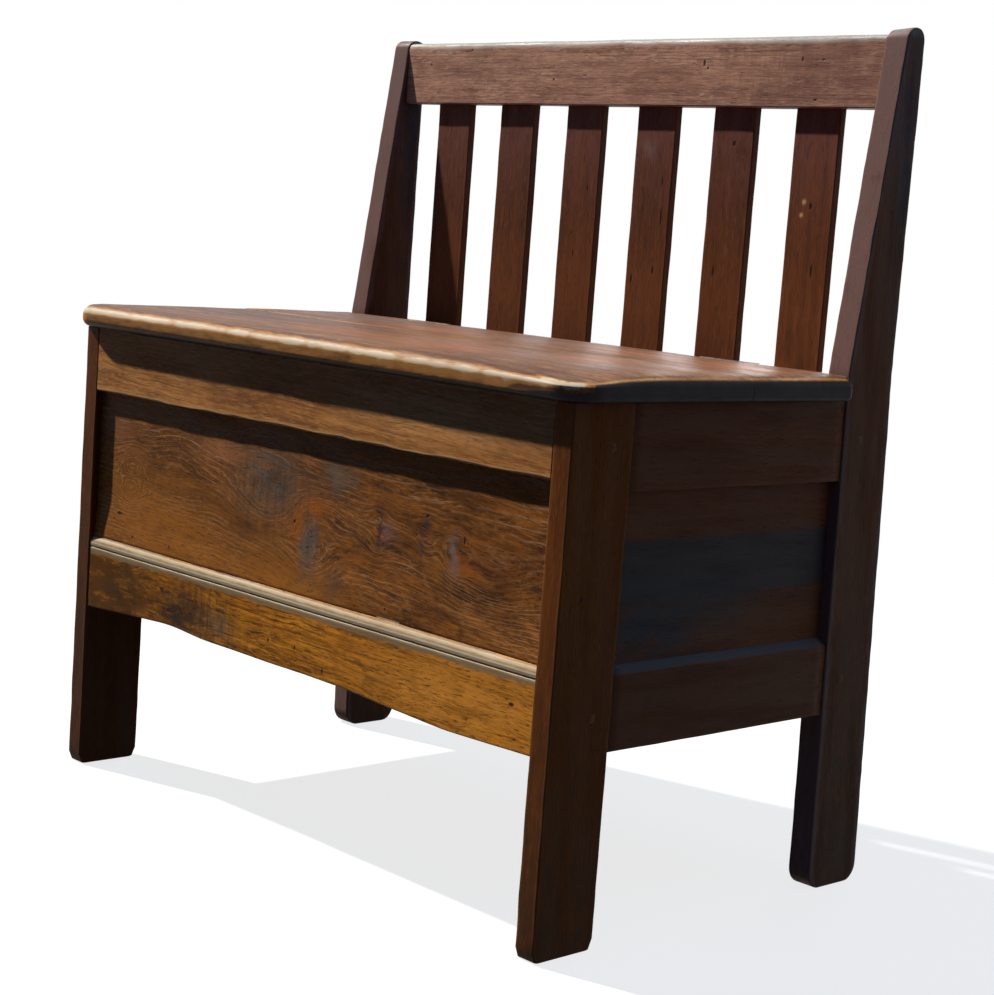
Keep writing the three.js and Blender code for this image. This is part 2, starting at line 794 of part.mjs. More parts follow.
const pocketReach = hingeKnuckleRadius + jointGap;

function seatPocket(x0, x1) {
  return block(
    [x0, hingePinDepth - pocketReach, leafBottom - jointGap],
    [x1, hingePinDepth, seatHeight + overrun],
  );
}

function ledgePocket(x0, x1) {
  return block(
    [x0, hingePinDepth, leafBottom - jointGap],
    [x1, hingePinDepth + pocketReach, seatHeight + overrun],
  );
}

// Assembly
const bench = new THREE.Group();
bench.position.y = -benchMiddleDepth;
const lid = new THREE.Group();
bench.add(lid);

function add(name, solid, material, group = bench) {
  const mesh = new THREE.Mesh(geometryOf(solid), material);
  mesh.name = name;
  group.add(mesh);
}

function addPair(name, solid, material, group = bench) {
  add(`${name}_right`, solid, material(), group);
  add(`${name}_left`, mirrored(solid), material(), group);
}

addPair('front_stile', frontStile(), frameOak);
addPair('rear_post', rearPost(), frameOak);
addPair('side_upper_rail', sideUpperRail(), frameOak);
addPair('side_lower_rail', sideLowerRail(), frameOak);
addPair('side_panel', sidePanel(), frameOak);
pegBars().forEach((peg, index) => addPair(`frame_peg_${index + 1}`, peg, frameOak));

add('front_upper_rail', frontUpperRail(), railOak());
add('front_lower_rail', frontLowerRail(), railOak());
add('front_panel', frontPanel(), panelOak());

add('crest_rail', crestRail(), crestOak());
slatMiddles.forEach((middle, index) => add(`slat_${index + 1}`, slat(middle), slatOak()));
add('back_upper_rail', backUpperRail(), insideOak());
add('back_lower_rail', backLowerRail(), insideOak());
add('back_panel', backPanel(), insideOak());
add('hinge_ledge', hingeLedge(), insideOak());

const boardNames = ['front', 'middle', 'back'];
boardNames.forEach((name, index) => add(`floor_board_${name}`, floorBoard(index), insideOak()));
add('floor_cleat_front', frontCleat(), insideOak());
add('floor_cleat_back', backCleat(), insideOak());
addPair('floor_cleat', endCleat(), insideOak);

add('seat_front_board', seatPart(benchFront - overrun, seatJointDepth - fitGap / 2), seatOak(), lid);
add('seat_back_board', seatPart(seatJointDepth + fitGap / 2, seatBackDepth), seatOak(), lid);
addPair('lid_batten', lidBatten(), insideOak, lid);
lidScrews.forEach((screw, index) => add(`hinge_screw_lid_${index + 1}`, hingeScrew(screw), iron(), lid));
ledgeScrews.forEach((screw, index) => add(`hinge_screw_ledge_${index + 1}`, hingeScrew(screw), iron()));
hingeMiddles.forEach((middle, index) => {
  const end = ['left', 'right'][index];
  add(`hinge_${end}_fixed_leaf`, hingeLeaf(middle, ledgeSide, 0), iron());
  add(`hinge_${end}_moving_leaf`, hingeLeaf(middle, lidSide, 1), iron(), lid);
  add(`hinge_${end}_pin`, hingePin(middle), iron());
});

export default bench;
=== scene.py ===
"""The worn oak settle bench: its shaped timber, its finishes, and the light and camera.

Metres, +Z up, the front faces -Y, and the origin lies on the floor in the middle of the bench.
"""

import math

import bpy
import numpy as np
from mathutils import Matrix, Vector


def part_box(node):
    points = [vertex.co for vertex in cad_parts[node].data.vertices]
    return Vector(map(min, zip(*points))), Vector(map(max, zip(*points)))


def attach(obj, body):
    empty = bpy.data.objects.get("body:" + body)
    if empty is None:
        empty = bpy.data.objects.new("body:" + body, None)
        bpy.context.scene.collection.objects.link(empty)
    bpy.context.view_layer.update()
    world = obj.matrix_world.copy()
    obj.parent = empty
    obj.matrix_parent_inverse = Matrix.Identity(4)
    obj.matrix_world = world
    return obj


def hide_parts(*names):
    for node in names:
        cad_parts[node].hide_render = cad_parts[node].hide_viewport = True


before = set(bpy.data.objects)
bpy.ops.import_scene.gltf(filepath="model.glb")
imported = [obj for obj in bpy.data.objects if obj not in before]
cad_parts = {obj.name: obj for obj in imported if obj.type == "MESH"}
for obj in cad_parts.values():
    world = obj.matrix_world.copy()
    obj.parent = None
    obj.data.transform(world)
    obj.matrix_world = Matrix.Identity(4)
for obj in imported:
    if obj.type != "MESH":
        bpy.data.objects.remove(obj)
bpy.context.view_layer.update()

MM = 0.001


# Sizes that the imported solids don't give by their boxes

MIDDLE_DEPTH = 216.267 * MM  # from the front of the stiles back to the origin
SEAT_HEIGHT = 500 * MM
SEAT_THICKNESS = 23.5 * MM
SEAT_NOSE = 11 * MM
NOSE_REACH = 15 * MM  # how far the worn upper edge of the seat runs back from the nose
NOSE_UNDER = 6.7 * MM
SEAT_CORNER = 32 * MM
SEAT_JOINT = 208 * MM - MIDDLE_DEPTH
SEAT_BACK_CORNER = 9 * MM
POST_FRONT = 360.2 * MM - MIDDLE_DEPTH
POST_BACK = 427.5 * MM - MIDDLE_DEPTH
POST_TOE_RAKE = 11.8 * MM
POST_HEEL_RAKE = 18.5 * MM
POST_TOP_WIDTH = 26.5 * MM
HEEL_ROUND = 18 * MM
TOE_ROUND = 8 * MM
FRONT_RAIL_THICKNESS = 22 * MM
SIDE_RAIL_THICKNESS = 20 * MM
LOWER_RAIL_BOTTOM = 175.4 * MM  # the front one's, at its two ends
BEVEL_START = 241.4 * MM  # the outer foot of the slope along the top of a lower side rail
PANEL_THICKNESS = 9 * MM
PANEL_BOW = 2.5 * MM
CREST_THICKNESS = 21 * MM
CREST_HOUSING = 11.7 * MM  # how far the slats run up into the crest rail
CREST_LIFT = 2.8 * MM  # the crest rail's top stands a little higher than the solid's
SLAT_SETBACK = 2.8 * MM
FIT_GAP = 0.2 * MM
HOUSED = 4 * MM  # how far a piece runs into the groove that holds it

# How the skins are divided beside a rounded edge

EDGE_ROWS = (2.2 * MM, 7 * MM)  # rows of points at these distances from it
EDGE_CLEAR = 11 * MM  # no evenly spaced row comes nearer
EDGE_FADE = 3.5 * MM  # the wear fades over this distance
EDGE_APART = 0.37  # sets the noise of one edge apart from the next edge's


# Shapes


def scattered(x, y, z, seed):
    """A repeatable number from -1 to 1 for each whole place: only the fraction of a magnified sine."""
    value = np.sin(x * 127.1 + y * 311.7 + z * 74.7 + seed * 53.3) * 43758.5453
    return 2 * (value - np.floor(value)) - 1


def unevenness(points, size, seed):
    """Smooth noise from -1 to 1: numbers at the corners of cubes `size` wide, blended by 3t^2 - 2t^3."""
    place = points / size
    cell = np.floor(place)
    share = place - cell
    share = share * share * (3 - 2 * share)
    total = 0
    for corner in np.ndindex(2, 2, 2):
        weight = np.prod(np.where(corner, share, 1 - share), axis=-1)
        total = total + weight * scattered(*np.moveaxis(cell + corner, -1, 0), seed)
    return total


def waver(points, amount, seed, size=0.07):
    """A small smooth shift of each point along all three axes, from three fields of noise."""
    fields = [unevenness(points, size, seed + axis * 7.7) for axis in range(3)]
    return amount * np.stack(fields, -1)


def eased(depth, radius):
    """How far a quarter-round edge has fallen away at a depth in from it: r - sqrt(r^2 - (r - depth)^2)."""
    inside = np.clip(radius - depth, 0, radius)
    return radius - np.sqrt(np.maximum(radius**2 - inside**2, 0))


def bell(distance, width):
    """One in the middle, and less to both sides: e to the minus square of the distance over the width."""
    return np.exp(-((distance / width) ** 2))


def climb(value, start, width):
    """Nought up to the start, and one from a width beyond it."""
    return np.clip((value - start) / width, 0, 1)


def stations(start, end, radius, spacing):
    """Places along a piece: crowded as 1 - cos within a radius of each end, evenly spaced between."""
    near = radius * (1 - np.cos(np.linspace(0, math.pi / 2, 5)))
    count = max(2, int(round((end - start) / spacing)))
    inner = np.linspace(start + radius, end - radius, count)
    return np.concatenate([start + near[:-1], inner, end - near[::-1][1:]])


def drawn_in(corners, fall):
    """Each corner of the outline moved inwards by `fall` from both edges: the sum of the edges' inward
    normals over one plus their product."""
    edge = np.roll(corners, -1, axis=1) - corners
    edge = edge / np.linalg.norm(edge, axis=-1, keepdims=True)
    inward = np.stack([-edge[..., 1], edge[..., 0]], -1)
    before = np.roll(inward, 1, axis=1)
    product = np.sum(inward * before, -1, keepdims=True)
    return corners + np.reshape(fall, (-1, 1, 1)) * (inward + before) / (1 + product)


def rounded(corners, radii, worn, turns=4, spacing=0.014):
    """Rings round an outline with its corners turned into arcs.

    The arc's centre lies r / sin(a / 2) from the corner along the line that halves its angle a, and the
    straight parts between the arcs are divided, closely beside the arcs. Returns the points and how worn
    each of them is: as much as its corner on an arc, less and less beside it.
    """
    to_before = np.roll(corners, 1, axis=1) - corners
    to_next = np.roll(corners, -1, axis=1) - corners
    to_before /= np.linalg.norm(to_before, axis=-1, keepdims=True)
    to_next /= np.linalg.norm(to_next, axis=-1, keepdims=True)
    half = np.arccos(np.clip(np.sum(to_before * to_next, -1), -1, 1)) / 2
    middle = to_before + to_next
    middle /= np.linalg.norm(middle, axis=-1, keepdims=True)
    centre = corners + middle * (radii / np.sin(half))[..., None]
    across = to_next + middle * -np.sum(to_next * middle, -1, keepdims=True)
    across /= np.linalg.norm(across, axis=-1, keepdims=True)
    reach = math.pi / 2 - half
    parts, wear = [], []
    for corner in range(corners.shape[1]):
        swing = np.linspace(-1, 1, turns + 1) * reach[:, corner, None]
        arc = centre[:, corner, None] + radii[:, corner, None, None] * (
            across[:, corner, None] * np.sin(swing)[..., None]
            - middle[:, corner, None] * np.cos(swing)[..., None]
        )
        parts.append(arc)
        wear.append(np.full(turns + 1, worn[corner]))
    points, amounts = [], []
    for corner, arc in enumerate(parts):
        following = parts[(corner + 1) % len(parts)][:, 0]
        leaving = arc[:, -1]
        length = float(np.mean(np.linalg.norm(following - leaving, axis=-1)))
        steps = [s / length for s in EDGE_ROWS if s < 0.4 * length]
        count = int(length / spacing)
        inner = list(np.linspace(0, 1, count + 2)[1:-1]) if count > 1 else []
        inner = [s for s in inner if EDGE_CLEAR < s * length < length - EDGE_CLEAR]
        share = np.array(steps + inner + [1 - s for s in steps[::-1]])
        points += [arc, leaving[:, None] + share[:, None] * (following - leaving)[:, None]]
        after = worn[(corner + 1) % len(parts)]
        fade = worn[corner] * np.exp(-share * length / EDGE_FADE)
        fade = fade + after * np.exp(-(1 - share) * length / EDGE_FADE)
        amounts += [wear[corner], fade]
    return np.concatenate(points, axis=1), np.concatenate(amounts)


def edge_spots(along, edges, shift):
    """A place for noise at each station of each edge, so that every edge wears in its own way."""
    return np.stack(np.broadcast_arrays(along[:, None], np.arange(edges) * EDGE_APART, shift), -1)


def four_corners(inner, outer, low, high):
    """The corners of a board on edge at each height, against the clock, from its edges at that height."""
    inner, outer, low, high = np.broadcast_arrays(inner, outer, low, high)
    return np.stack([np.stack([inner, outer, outer, inner], -1), np.stack([low, low, high, high], -1)], -1)


def upright(along, ring, axis):
    """Rings of two numbers and their place along an axis, as points in space."""
    length = np.broadcast_to(along[:, None], ring.shape[:2])
    first, second = ring[..., 0], ring[..., 1]
    order = {"x": (length, first, second), "y": (first, length, second), "z": (first, second, length)}
    return np.stack(order[axis], -1)


def skin(name, rings, wear):
    """A closed skin: four-sided faces from ring to ring, and at each end a fan to the ring's middle."""
    count, around = rings.shape[:2]
    points = np.concatenate([rings.reshape(-1, 3), rings[:1].mean(1), rings[-1:].mean(1)])
    index = np.arange(count * around).reshape(count, around)
    turned = np.roll(index, -1, axis=1)
    sides = np.stack([index[:-1], turned[:-1], turned[1:], index[1:]], -1).reshape(-1, 4)
    start = np.full(around, count * around)
    fans = np.concatenate([
        np.stack([turned[0], index[0], start], -1),
        np.stack([index[-1], turned[-1], start + 1], -1),
    ])
    halves = np.concatenate([sides[:, [0, 1, 2]], sides[:, [0, 2, 3]], fans])
    a, b, c = (points[halves[:, corner]] for corner in range(3))
    if np.sum(a * np.cross(b, c)) < 0:
        sides, fans = sides[:, ::-1], fans[:, ::-1]
    mesh = bpy.data.meshes.new(name)
    mesh.vertices.add(len(points))
    mesh.vertices.foreach_set("co", points.astype(np.float32).ravel())
    loops = np.concatenate([sides.ravel(), fans.ravel()])
    mesh.loops.add(len(loops))
    mesh.loops.foreach_set("vertex_index", loops.astype(np.int32))
    sizes = np.concatenate([np.full(len(sides), 4), np.full(len(fans), 3)])
    mesh.polygons.add(len(sizes))
    mesh.polygons.foreach_set("loop_start", (np.cumsum(sizes) - sizes).astype(np.int32))
    mesh.polygons.foreach_set("use_smooth", np.ones(len(sizes), bool))
    mesh.update(calc_edges=True)
    amounts = np.broadcast_to(wear, (count, around)).ravel()
    amounts = np.concatenate([amounts, amounts[:around].mean()[None], amounts[-around:].mean()[None]])
    worn = mesh.attributes.new("wear", "FLOAT", "POINT")
    worn.data.foreach_set("value", amounts.astype(np.float32))
    piece = bpy.data.objects.new(name, mesh)
    bpy.context.scene.collection.objects.link(piece)
    return piece


def settled(piece, body, nodes, finish):
    """The piece stands for its solids, rides on its body and takes its finish."""
    for node in nodes:
        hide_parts(node)
    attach(piece, body)
    piece.data.materials.clear()
    piece.data.materials.append(finish)
    weighted = piece.modifiers.new("even shading", "WEIGHTED_NORMAL")
    weighted.keep_sharp = False
    return piece


def length_of_wood(name, corners, radii, worn, start, end, axis, seed, end_ease=0.0008,
                   rough=0.45, spacing=0.014, unevenly=0.00018):
    """An outline carried along an axis.

    A corner's radius is its size times one plus noise along the edge. Near the ends the outline draws in
    as a quarter round does. Then the whole skin wavers a little, as wood planed by hand does. An end with
    a large ease is worn, by e to the minus distance over 2 mm.
    """
    along = stations(start, end, end_ease, spacing)
    from_end = np.minimum(along - start, end - along)
    if callable(corners):
        outline = corners(along)
    else:
        outline = np.broadcast_to(corners, (len(along), *np.shape(corners)))
    outline = drawn_in(outline, eased(from_end, end_ease))
    edges = outline.shape[1]
    spots = edge_spots(along, edges, seed * 0.11)
    uneven = 1 + rough * unevenness(spots, 0.03, seed) + 0.6 * rough * unevenness(spots, 0.009, seed + 3)
    size = np.broadcast_to(radii, outline.shape[:2]) * uneven
    ring, wear = rounded(outline, size, np.broadcast_to(worn, edges), spacing=spacing)
    points = upright(along, ring, axis)
    points = points + waver(points, unevenly, seed)
    end_wear = np.exp(-from_end / 0.002) * (end_ease > 0.001)
    return skin(name, points, np.maximum(wear[None], end_wear[:, None]))


def oblong(first_low, first_high, second_low, second_high):
    """The corners of a rectangle, against the clock."""
    return np.array([
        [first_low, second_low], [first_high, second_low],
        [first_high, second_high], [first_low, second_high],
    ])


def board(name, low, high, axis, seed, radius=0.0012, worn=1.0, **how):
    """A square-edged board between two corners, its length along the axis."""
    ends = "xyz".index(axis)
    first, second = (i for i in range(3) if i != ends)
    corners = oblong(low[first], high[first], low[second], high[second])
    return length_of_wood(name, corners, radius, worn, low[ends], high[ends], axis, seed, **how)


def turned(name, profile, centre, direction, around):
    """A profile of [radius, height] spun about a line: radius times the cosine and sine of the turn."""
    profile = np.array(profile, float)
    turn = np.linspace(0, 2 * math.pi, around, endpoint=False)
    direction = np.array(direction, float) / np.linalg.norm(direction)
    aslant = [0.3, 0.9, 0.1]  # any line but the direction itself
    side = np.cross(direction, aslant)
    side /= np.linalg.norm(side)
    other = np.cross(direction, side)
    circle = np.cos(turn)[:, None] * side + np.sin(turn)[:, None] * other
    rings = np.array(centre) + profile[:, None, :1] * circle + profile[:, None, 1:] * direction
    return skin(name, rings, 0.0)


# Finishes

LEAST_ROAMING = 7 * MM  # a narrower stain keeps its place


def feed(socket, value):
    """Joins a socket to another socket, or sets it to a number, a place or a colour."""
    if isinstance(value, bpy.types.NodeSocket):
        socket.id_data.links.new(value, socket)
    else:
        socket.default_value = value


class Finish:
    """The nodes of one finish."""

    def __init__(self, name):
        self.material = bpy.data.materials.new(name)
        self.material.use_nodes = True
        self.tree = self.material.node_tree
        self.tree.nodes.clear()

    def put(self, kind, inputs=(), out=0, **settings):
        """A new node with its inputs and settings: gives back its output, or itself if it has none."""
        node = self.tree.nodes.new(kind)
        for key, value in settings.items():
            setattr(node, key, value)
        for key, value in dict(inputs).items():
            feed(node.inputs[key], value)
        return node.outputs[out] if node.outputs else node

    def reckoned(self, kind, first, second=0.0, third=0.0):
        """One step of arithmetic on plain numbers or sockets."""
        return self.put("ShaderNodeMath", {0: first, 1: second, 2: third}, operation=kind)

    def less(self, first, second):
        return self.reckoned("SUBTRACT", first, second)

    def times(self, first, second):
        return self.reckoned("MULTIPLY", first, second)

    def times_plus(self, first, second, third):
        """The product of the first two, plus the third."""
        return self.reckoned("MULTIPLY_ADD", first, second, third)

    def vector(self, kind, first, second=(0, 0, 0), out=0):
        """One step of arithmetic on places or offsets."""
        return self.put("ShaderNodeVectorMath", {0: first, 1: second}, out=out, operation=kind)

    def split(self, vector):
        return self.put("ShaderNodeSeparateXYZ", {0: vector}).node.outputs

    def packed(self, x, y, z):
        return self.put("ShaderNodeCombineXYZ", {0: x, 1: y, 2: z})

    def noise(self, vector, scale, detail=2.0, roughness=0.5, distortion=0.0, out=0):
        """Smooth noise from 0 to 1: `scale` is one number, or one for each axis."""
        if isinstance(scale, tuple):
            vector, scale = self.vector("MULTIPLY", vector, scale), 1.0
        inputs = {"Vector": vector, "Scale": scale, "Detail": detail, "Roughness": roughness,
                  "Distortion": distortion}
        return self.put("ShaderNodeTexNoise", inputs, out=out)

    def spread(self, value, low, high, new_low=0.0, new_high=1.0):
        """The value's range from low to high, stretched to a new range and held inside it."""
        inputs = {0: value, 1: low, 2: high, 3: new_low, 4: new_high}
        return self.put("ShaderNodeMapRange", inputs, interpolation_type="SMOOTHSTEP")

    def blend(self, share, first, second):
        """The first colour, and the second by its share."""
        return self.put("ShaderNodeMix", {0: share, 6: first, 7: second}, out=2, data_type="RGBA")

    def spot(self, place, centre, reach):
        """The offset from a spot over its reach, and the square of its length."""
        away = self.vector("SUBTRACT", place, (*centre, 0))
        away = self.vector("MULTIPLY", away, (1 / reach[0], 1 / reach[1], 0))
        return away, self.vector("DOT_PRODUCT", away, away, out=1)

    def soft(self, square):
        """A soft round shape: e to the minus square of the distance."""
        return self.reckoned("POWER", 1 / math.e, square)

    def stain(self, place, centre, reach):
        """How strong a stain is at a place: a soft round shape about its centre."""
        return self.soft(self.spot(place, centre, reach)[1])

    def done(self, shader):
        """The finished material, with this shader as its surface."""
        self.put("ShaderNodeOutputMaterial", {"Surface": shader})
        return self.material


def rgb(red, green, blue):
    """A colour as seen on screen, 0 to 255, in the shader's linear numbers."""
    levels = [channel / 255 for channel in (red, green, blue)]
    linear = [c / 12.92 if c <= 0.04045 else ((c + 0.055) / 1.055) ** 2.4 for c in levels]
    return (*linear, 1.0)


def dimmed(colour, share):
    """A colour with its light multiplied by a share, which may be over 1."""
    return tuple(channel * share for channel in colour[:3]) + (1.0,)


def oak(name, order, pale, mid, dark, heart=(0.06, 0.05), ring_gap=0.0042, sway=0.006, swirl=1.0, rings=0.4,
        ring_start=0.3, line=None, bands=0.4, streaks=0.4, fibres=0.35, mottle=0.35, pores=0.4, flecks=0.0,
        fleck=None, dashes=(85, 520), knots=(), figure=(), stains=(), holes=(), washes=(),
        worn=rgb(176, 136, 92), half_worn=None, wear=0.6, soot_and_shade=rgb(50, 40, 42), gloss=(0.42, 0.6),
        level=0.08, relief=0.5, grime=0.35, slope=0.03, seed=0):
    """Old oak, in the plane of its yearly rings. `order` names the axes of length, width and depth.

    The place across the grain is pushed about by slow noise, which stretches along the length. Each knot
    adds a soft bump, which shifts the lines there, and parts them by a share of their distance from it.
    Rings are the fraction of the pushed place's distance from the tree's heart over their gap. Bands,
    streaks, fibres, pores and flecks are noise, long along the grain, read in the pushed place.

    Over the grain lie stains, which are soft round shapes, and figure, which is fine lines across the
    grain within such a shape. The place of both is nudged by noise, so that their edges roam. A wash is a
    stripe along the grain, which comes in between its first two levels and goes out between the next two,
    and a hole is a dark pit. The skin's `wear` rubs the wood where it is above nought, to `half_worn` and
    then to `worn`, and covers it with a dark colour where it is below, which on the seat is painted shade.

    Each mark starts with its place along and across the grain and its reach both ways. Then a knot has
    its lift, its share of parting and its blackness, and a stain or figure has its share and colour.
    """
    f = Finish(name)
    place = f.put("ShaderNodeTexCoord", out=3)
    apart = f.split(place)
    length, width, depth = (apart["xyz".index(axis)] for axis in order)
    flat = f.packed(length, width, depth)
    laid = f.put("ShaderNodeMapping", {
        "Vector": flat, "Location": (seed * 1.37, -heart[0], -heart[1]),
        "Rotation": (0.0, slope * 0.6, slope),
    })
    apart = f.split(laid)
    slow = f.noise(laid, (2.6 * swirl, 9, 9), 2.0, 0.55, 0.3)
    quick = f.noise(laid, (14, 55, 55))
    push = f.times(f.less(slow, 0.5), sway * 2)
    push = f.times_plus(f.less(quick, 0.5), ring_gap * 1.4, push)
    core = None
    for x, y, reach_x, reach_y, lift, part, black in knots:
        away, square = f.spot(flat, (x, y), (reach_x, reach_y))
        bump = f.soft(square)
        push = f.times_plus(bump, lift, push)
        if part:
            push = f.times_plus(f.times(f.split(away)[1], bump), -part * reach_y, push)
        if black:
            core = f.times_plus(f.reckoned("POWER", bump, 7.0), black, core or 0.0)
    across = f.reckoned("ADD", apart[1], push)
    deep = f.times_plus(push, 0.6, apart[2])
    grain = f.packed(apart[0], across, deep)
    radius = f.reckoned("ADD", f.reckoned("POWER", across, 2.0), f.reckoned("POWER", deep, 2.0))
    radius = f.reckoned("SQRT", radius)

    ring = f.reckoned("FRACT", f.reckoned("DIVIDE", radius, ring_gap))
    late = f.less(f.spread(ring, ring_start, 0.85), f.spread(ring, 0.9, 1.0))
    patchy = f.noise(grain, (8, 45, 45))
    late = f.times(late, f.spread(patchy, 0.36, 0.66, 0.15, 1.0))
    band = f.noise(grain, (5, 95, 95), 2.0, 0.6)
    streak = f.noise(grain, (10, 330, 330), 3.0, 0.6)
    fibre = f.noise(grain, (42, 620, 620), 3.0, 0.65)
    pore = f.spread(f.noise(grain, (95, 1300, 1300), 1.0, 0.4), 0.6, 0.7)
    cloud = f.noise(laid, (7, 16, 16), 3.0, 0.6)
    blotch = f.noise(laid, (34, 90, 90), 4.0, 0.68)
    if stains or figure:
        nudge = f.noise(flat, 42.0, 3.0, 0.6, out=1)
        nudge = f.vector("SUBTRACT", nudge, (0.5, 0.5, 0.5))
        roaming = f.vector("ADD", flat, f.vector("MULTIPLY", nudge, (0.03, 0.03, 0)))

    tone = f.blend(f.spread(cloud, 0.3, 0.72), mid, pale)
    tone = f.blend(f.spread(blotch, 0.28, 0.5, 0.7 * mottle, 0.0), tone, dimmed(pale, 1.3))
    tone = f.blend(f.spread(blotch, 0.5, 0.72, 0.0, mottle), tone, dark)
    tone = f.blend(f.spread(band, 0.46, 0.72, 0.0, bands), tone, dark)
    tone = f.blend(f.times(late, rings), tone, line or dark)
    tone = f.blend(f.spread(streak, 0.52, 0.63, 0.0, streaks), tone, dimmed(dark, 0.8))
    tone = f.blend(f.spread(fibre, 0.4, 0.66, 0.0, fibres), tone, dark)
    if flecks:
        specks = f.noise(grain, (dashes[0], dashes[1], dashes[1] * 0.8), 2.0, 0.55)
        thick = f.spread(patchy, 0.34, 0.6, 0.3 * flecks, flecks)
        tone = f.blend(f.times(f.spread(specks, 0.55, 0.65), thick), tone, fleck or worn)
    for x, y, reach_x, reach_y, share, colour in stains:
        place = roaming if reach_y > LEAST_ROAMING else flat
        edge = f.times(f.stain(place, (x, y), (reach_x, reach_y)), share)
        edge = f.times(edge, f.spread(blotch, 0.3, 0.6, 0.5, 1.25))
        tone = f.blend(f.reckoned("MINIMUM", edge, 1.0), tone, colour)
    for x, y, reach_x, reach_y, share, colour in figure:
        rays = f.noise(flat, (230, 26, 40), 3.0, 0.6, 0.4)
        rays = f.times(f.spread(rays, 0.42, 0.62), f.stain(roaming, (x, y), (reach_x, reach_y)))
        tone = f.blend(f.times(rays, share), tone, colour)
    tone = f.blend(f.times(pore, pores), tone, dimmed(dark, 0.35))
    if core:
        tone = f.blend(f.reckoned("MINIMUM", core, 0.9), tone, dimmed(dark, 0.22))

    treated = f.put("ShaderNodeAttribute", out=2, attribute_name="wear")
    scuff = f.less(f.noise(laid, (40, 160, 160), 3.0, 0.62), 0.5)
    rubbed = f.times_plus(scuff, f.spread(treated, 0.0, 0.3, 0.0, 0.8), treated)
    if half_worn:
        tone = f.blend(f.spread(rubbed, 0.12, 0.45, 0.0, wear), tone, half_worn)
    tone = f.blend(f.spread(rubbed, 0.5, 0.95, 0.0, wear), tone, worn)
    for start, full, ending, end, share, colour in washes:
        ragged = f.times_plus(f.less(blotch, 0.5), 0.5 * abs(full - start), width)
        coming = f.spread(ragged, start, full, 0.0, share)
        tone = f.blend(f.times(coming, f.spread(ragged, ending, end, 1.0, 0.0)), tone, colour)
    dirt = f.spread(f.noise(laid, (11, 24, 24), 4.0, 0.68), 0.5, 0.78)
    tone = f.blend(f.times(dirt, grime), tone, dimmed(dark, 0.45))
    tone = f.blend(f.spread(f.times(treated, -1.0), 0.1, 0.8), tone, soot_and_shade)
    if holes:
        nearest = 9.0
        for x, y, reach_x, reach_y in holes:
            square = f.spot(flat, (x, y), (reach_x, reach_y))[1]
            nearest = f.reckoned("MINIMUM", square, nearest)
        pit = f.spread(nearest, 0.4, 1.8, 0.9, 0.0)
        tone = f.blend(pit, tone, rgb(30, 15, 10))

    rough = f.spread(f.noise(laid, (9, 60, 60), 3.0), 0.3, 0.7, *gloss)
    rough = f.times_plus(pore, 0.18, rough)
    height = f.times_plus(fibre, 0.5, f.times(late, 0.25))
    height = f.less(height, f.times(pore, 0.8))
    if holes:
        height = f.less(height, f.times(pit, 3.0))
    surface = f.put("ShaderNodeBump", {"Height": height, "Strength": relief, "Distance": 0.00025})
    return f.done(f.put("ShaderNodeBsdfPrincipled", {
        "Base Color": tone, "Roughness": rough, "Normal": surface, "Specular IOR Level": level,
    }))


def iron(name):
    """Forged iron gone brown: two dark tones and a rough, pitted skin by noise."""
    f = Finish(name)
    place = f.put("ShaderNodeTexCoord", out=3)
    rust = f.spread(f.noise(place, 190.0, 4.0, 0.6), 0.42, 0.64)
    pits = f.noise(place, 900.0, 3.0, 0.6)
    tone = f.blend(rust, rgb(74, 66, 60), rgb(92, 58, 38))
    rough = f.spread(rust, 0.0, 1.0, 0.38, 0.75)
    surface = f.put("ShaderNodeBump", {"Height": pits, "Strength": 0.4, "Distance": 0.0002})
    return f.done(f.put("ShaderNodeBsdfPrincipled", {
        "Base Color": tone, "Roughness": rough, "Normal": surface, "Metallic": 0.85,
    }))


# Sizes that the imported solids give

stile_low, stile_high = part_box("front_stile_right")
post_low, post_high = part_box("rear_post_right")
STILE_INSIDE, FRAME_HALF = stile_low.x, stile_high.x
POST_INSIDE = post_low.x
STILE_FRONT, STILE_BACK, STILE_TOP = stile_low.y, stile_high.y, stile_high.z
POST_TOP = post_high.z


def post_front(height):
    """The front edge of a post: it rakes back to the floor, and leans back above the seat up to the top."""
    lean = (POST_BACK - POST_TOP_WIDTH - POST_FRONT) / (POST_TOP - POST_TOP_WIDTH / 2 - SEAT_HEIGHT)
    above = POST_FRONT + (height - SEAT_HEIGHT) * lean
    below = POST_FRONT + POST_TOE_RAKE * (SEAT_HEIGHT - height) / SEAT_HEIGHT
    return np.where(height > SEAT_HEIGHT, above, below)


def post_back(height):
    """The back edge of a post: upright above the seat, raking back below it."""
    return POST_BACK + POST_HEEL_RAKE * np.clip((SEAT_HEIGHT - height) / SEAT_HEIGHT, 0, 1)


# Side frames

FRAME_TONES = {"pale": rgb(106, 62, 38), "mid": rgb(92, 53, 33), "dark": rgb(56, 32, 22)}


def frame_finish(name, order, seed, **how):
    """The side frames' oak, plain and dark, with what one piece has of its own."""
    return oak(name, order, **{
        **FRAME_TONES, "level": 0.05, "seed": seed, "worn": rgb(118, 74, 42), "wear": 0.35, "grime": 0.3,
        "rings": 0.25, "bands": 0.35, "streaks": 0.3, "fibres": 0.25, "mottle": 0.35, "pores": 0.35, **how,
    })


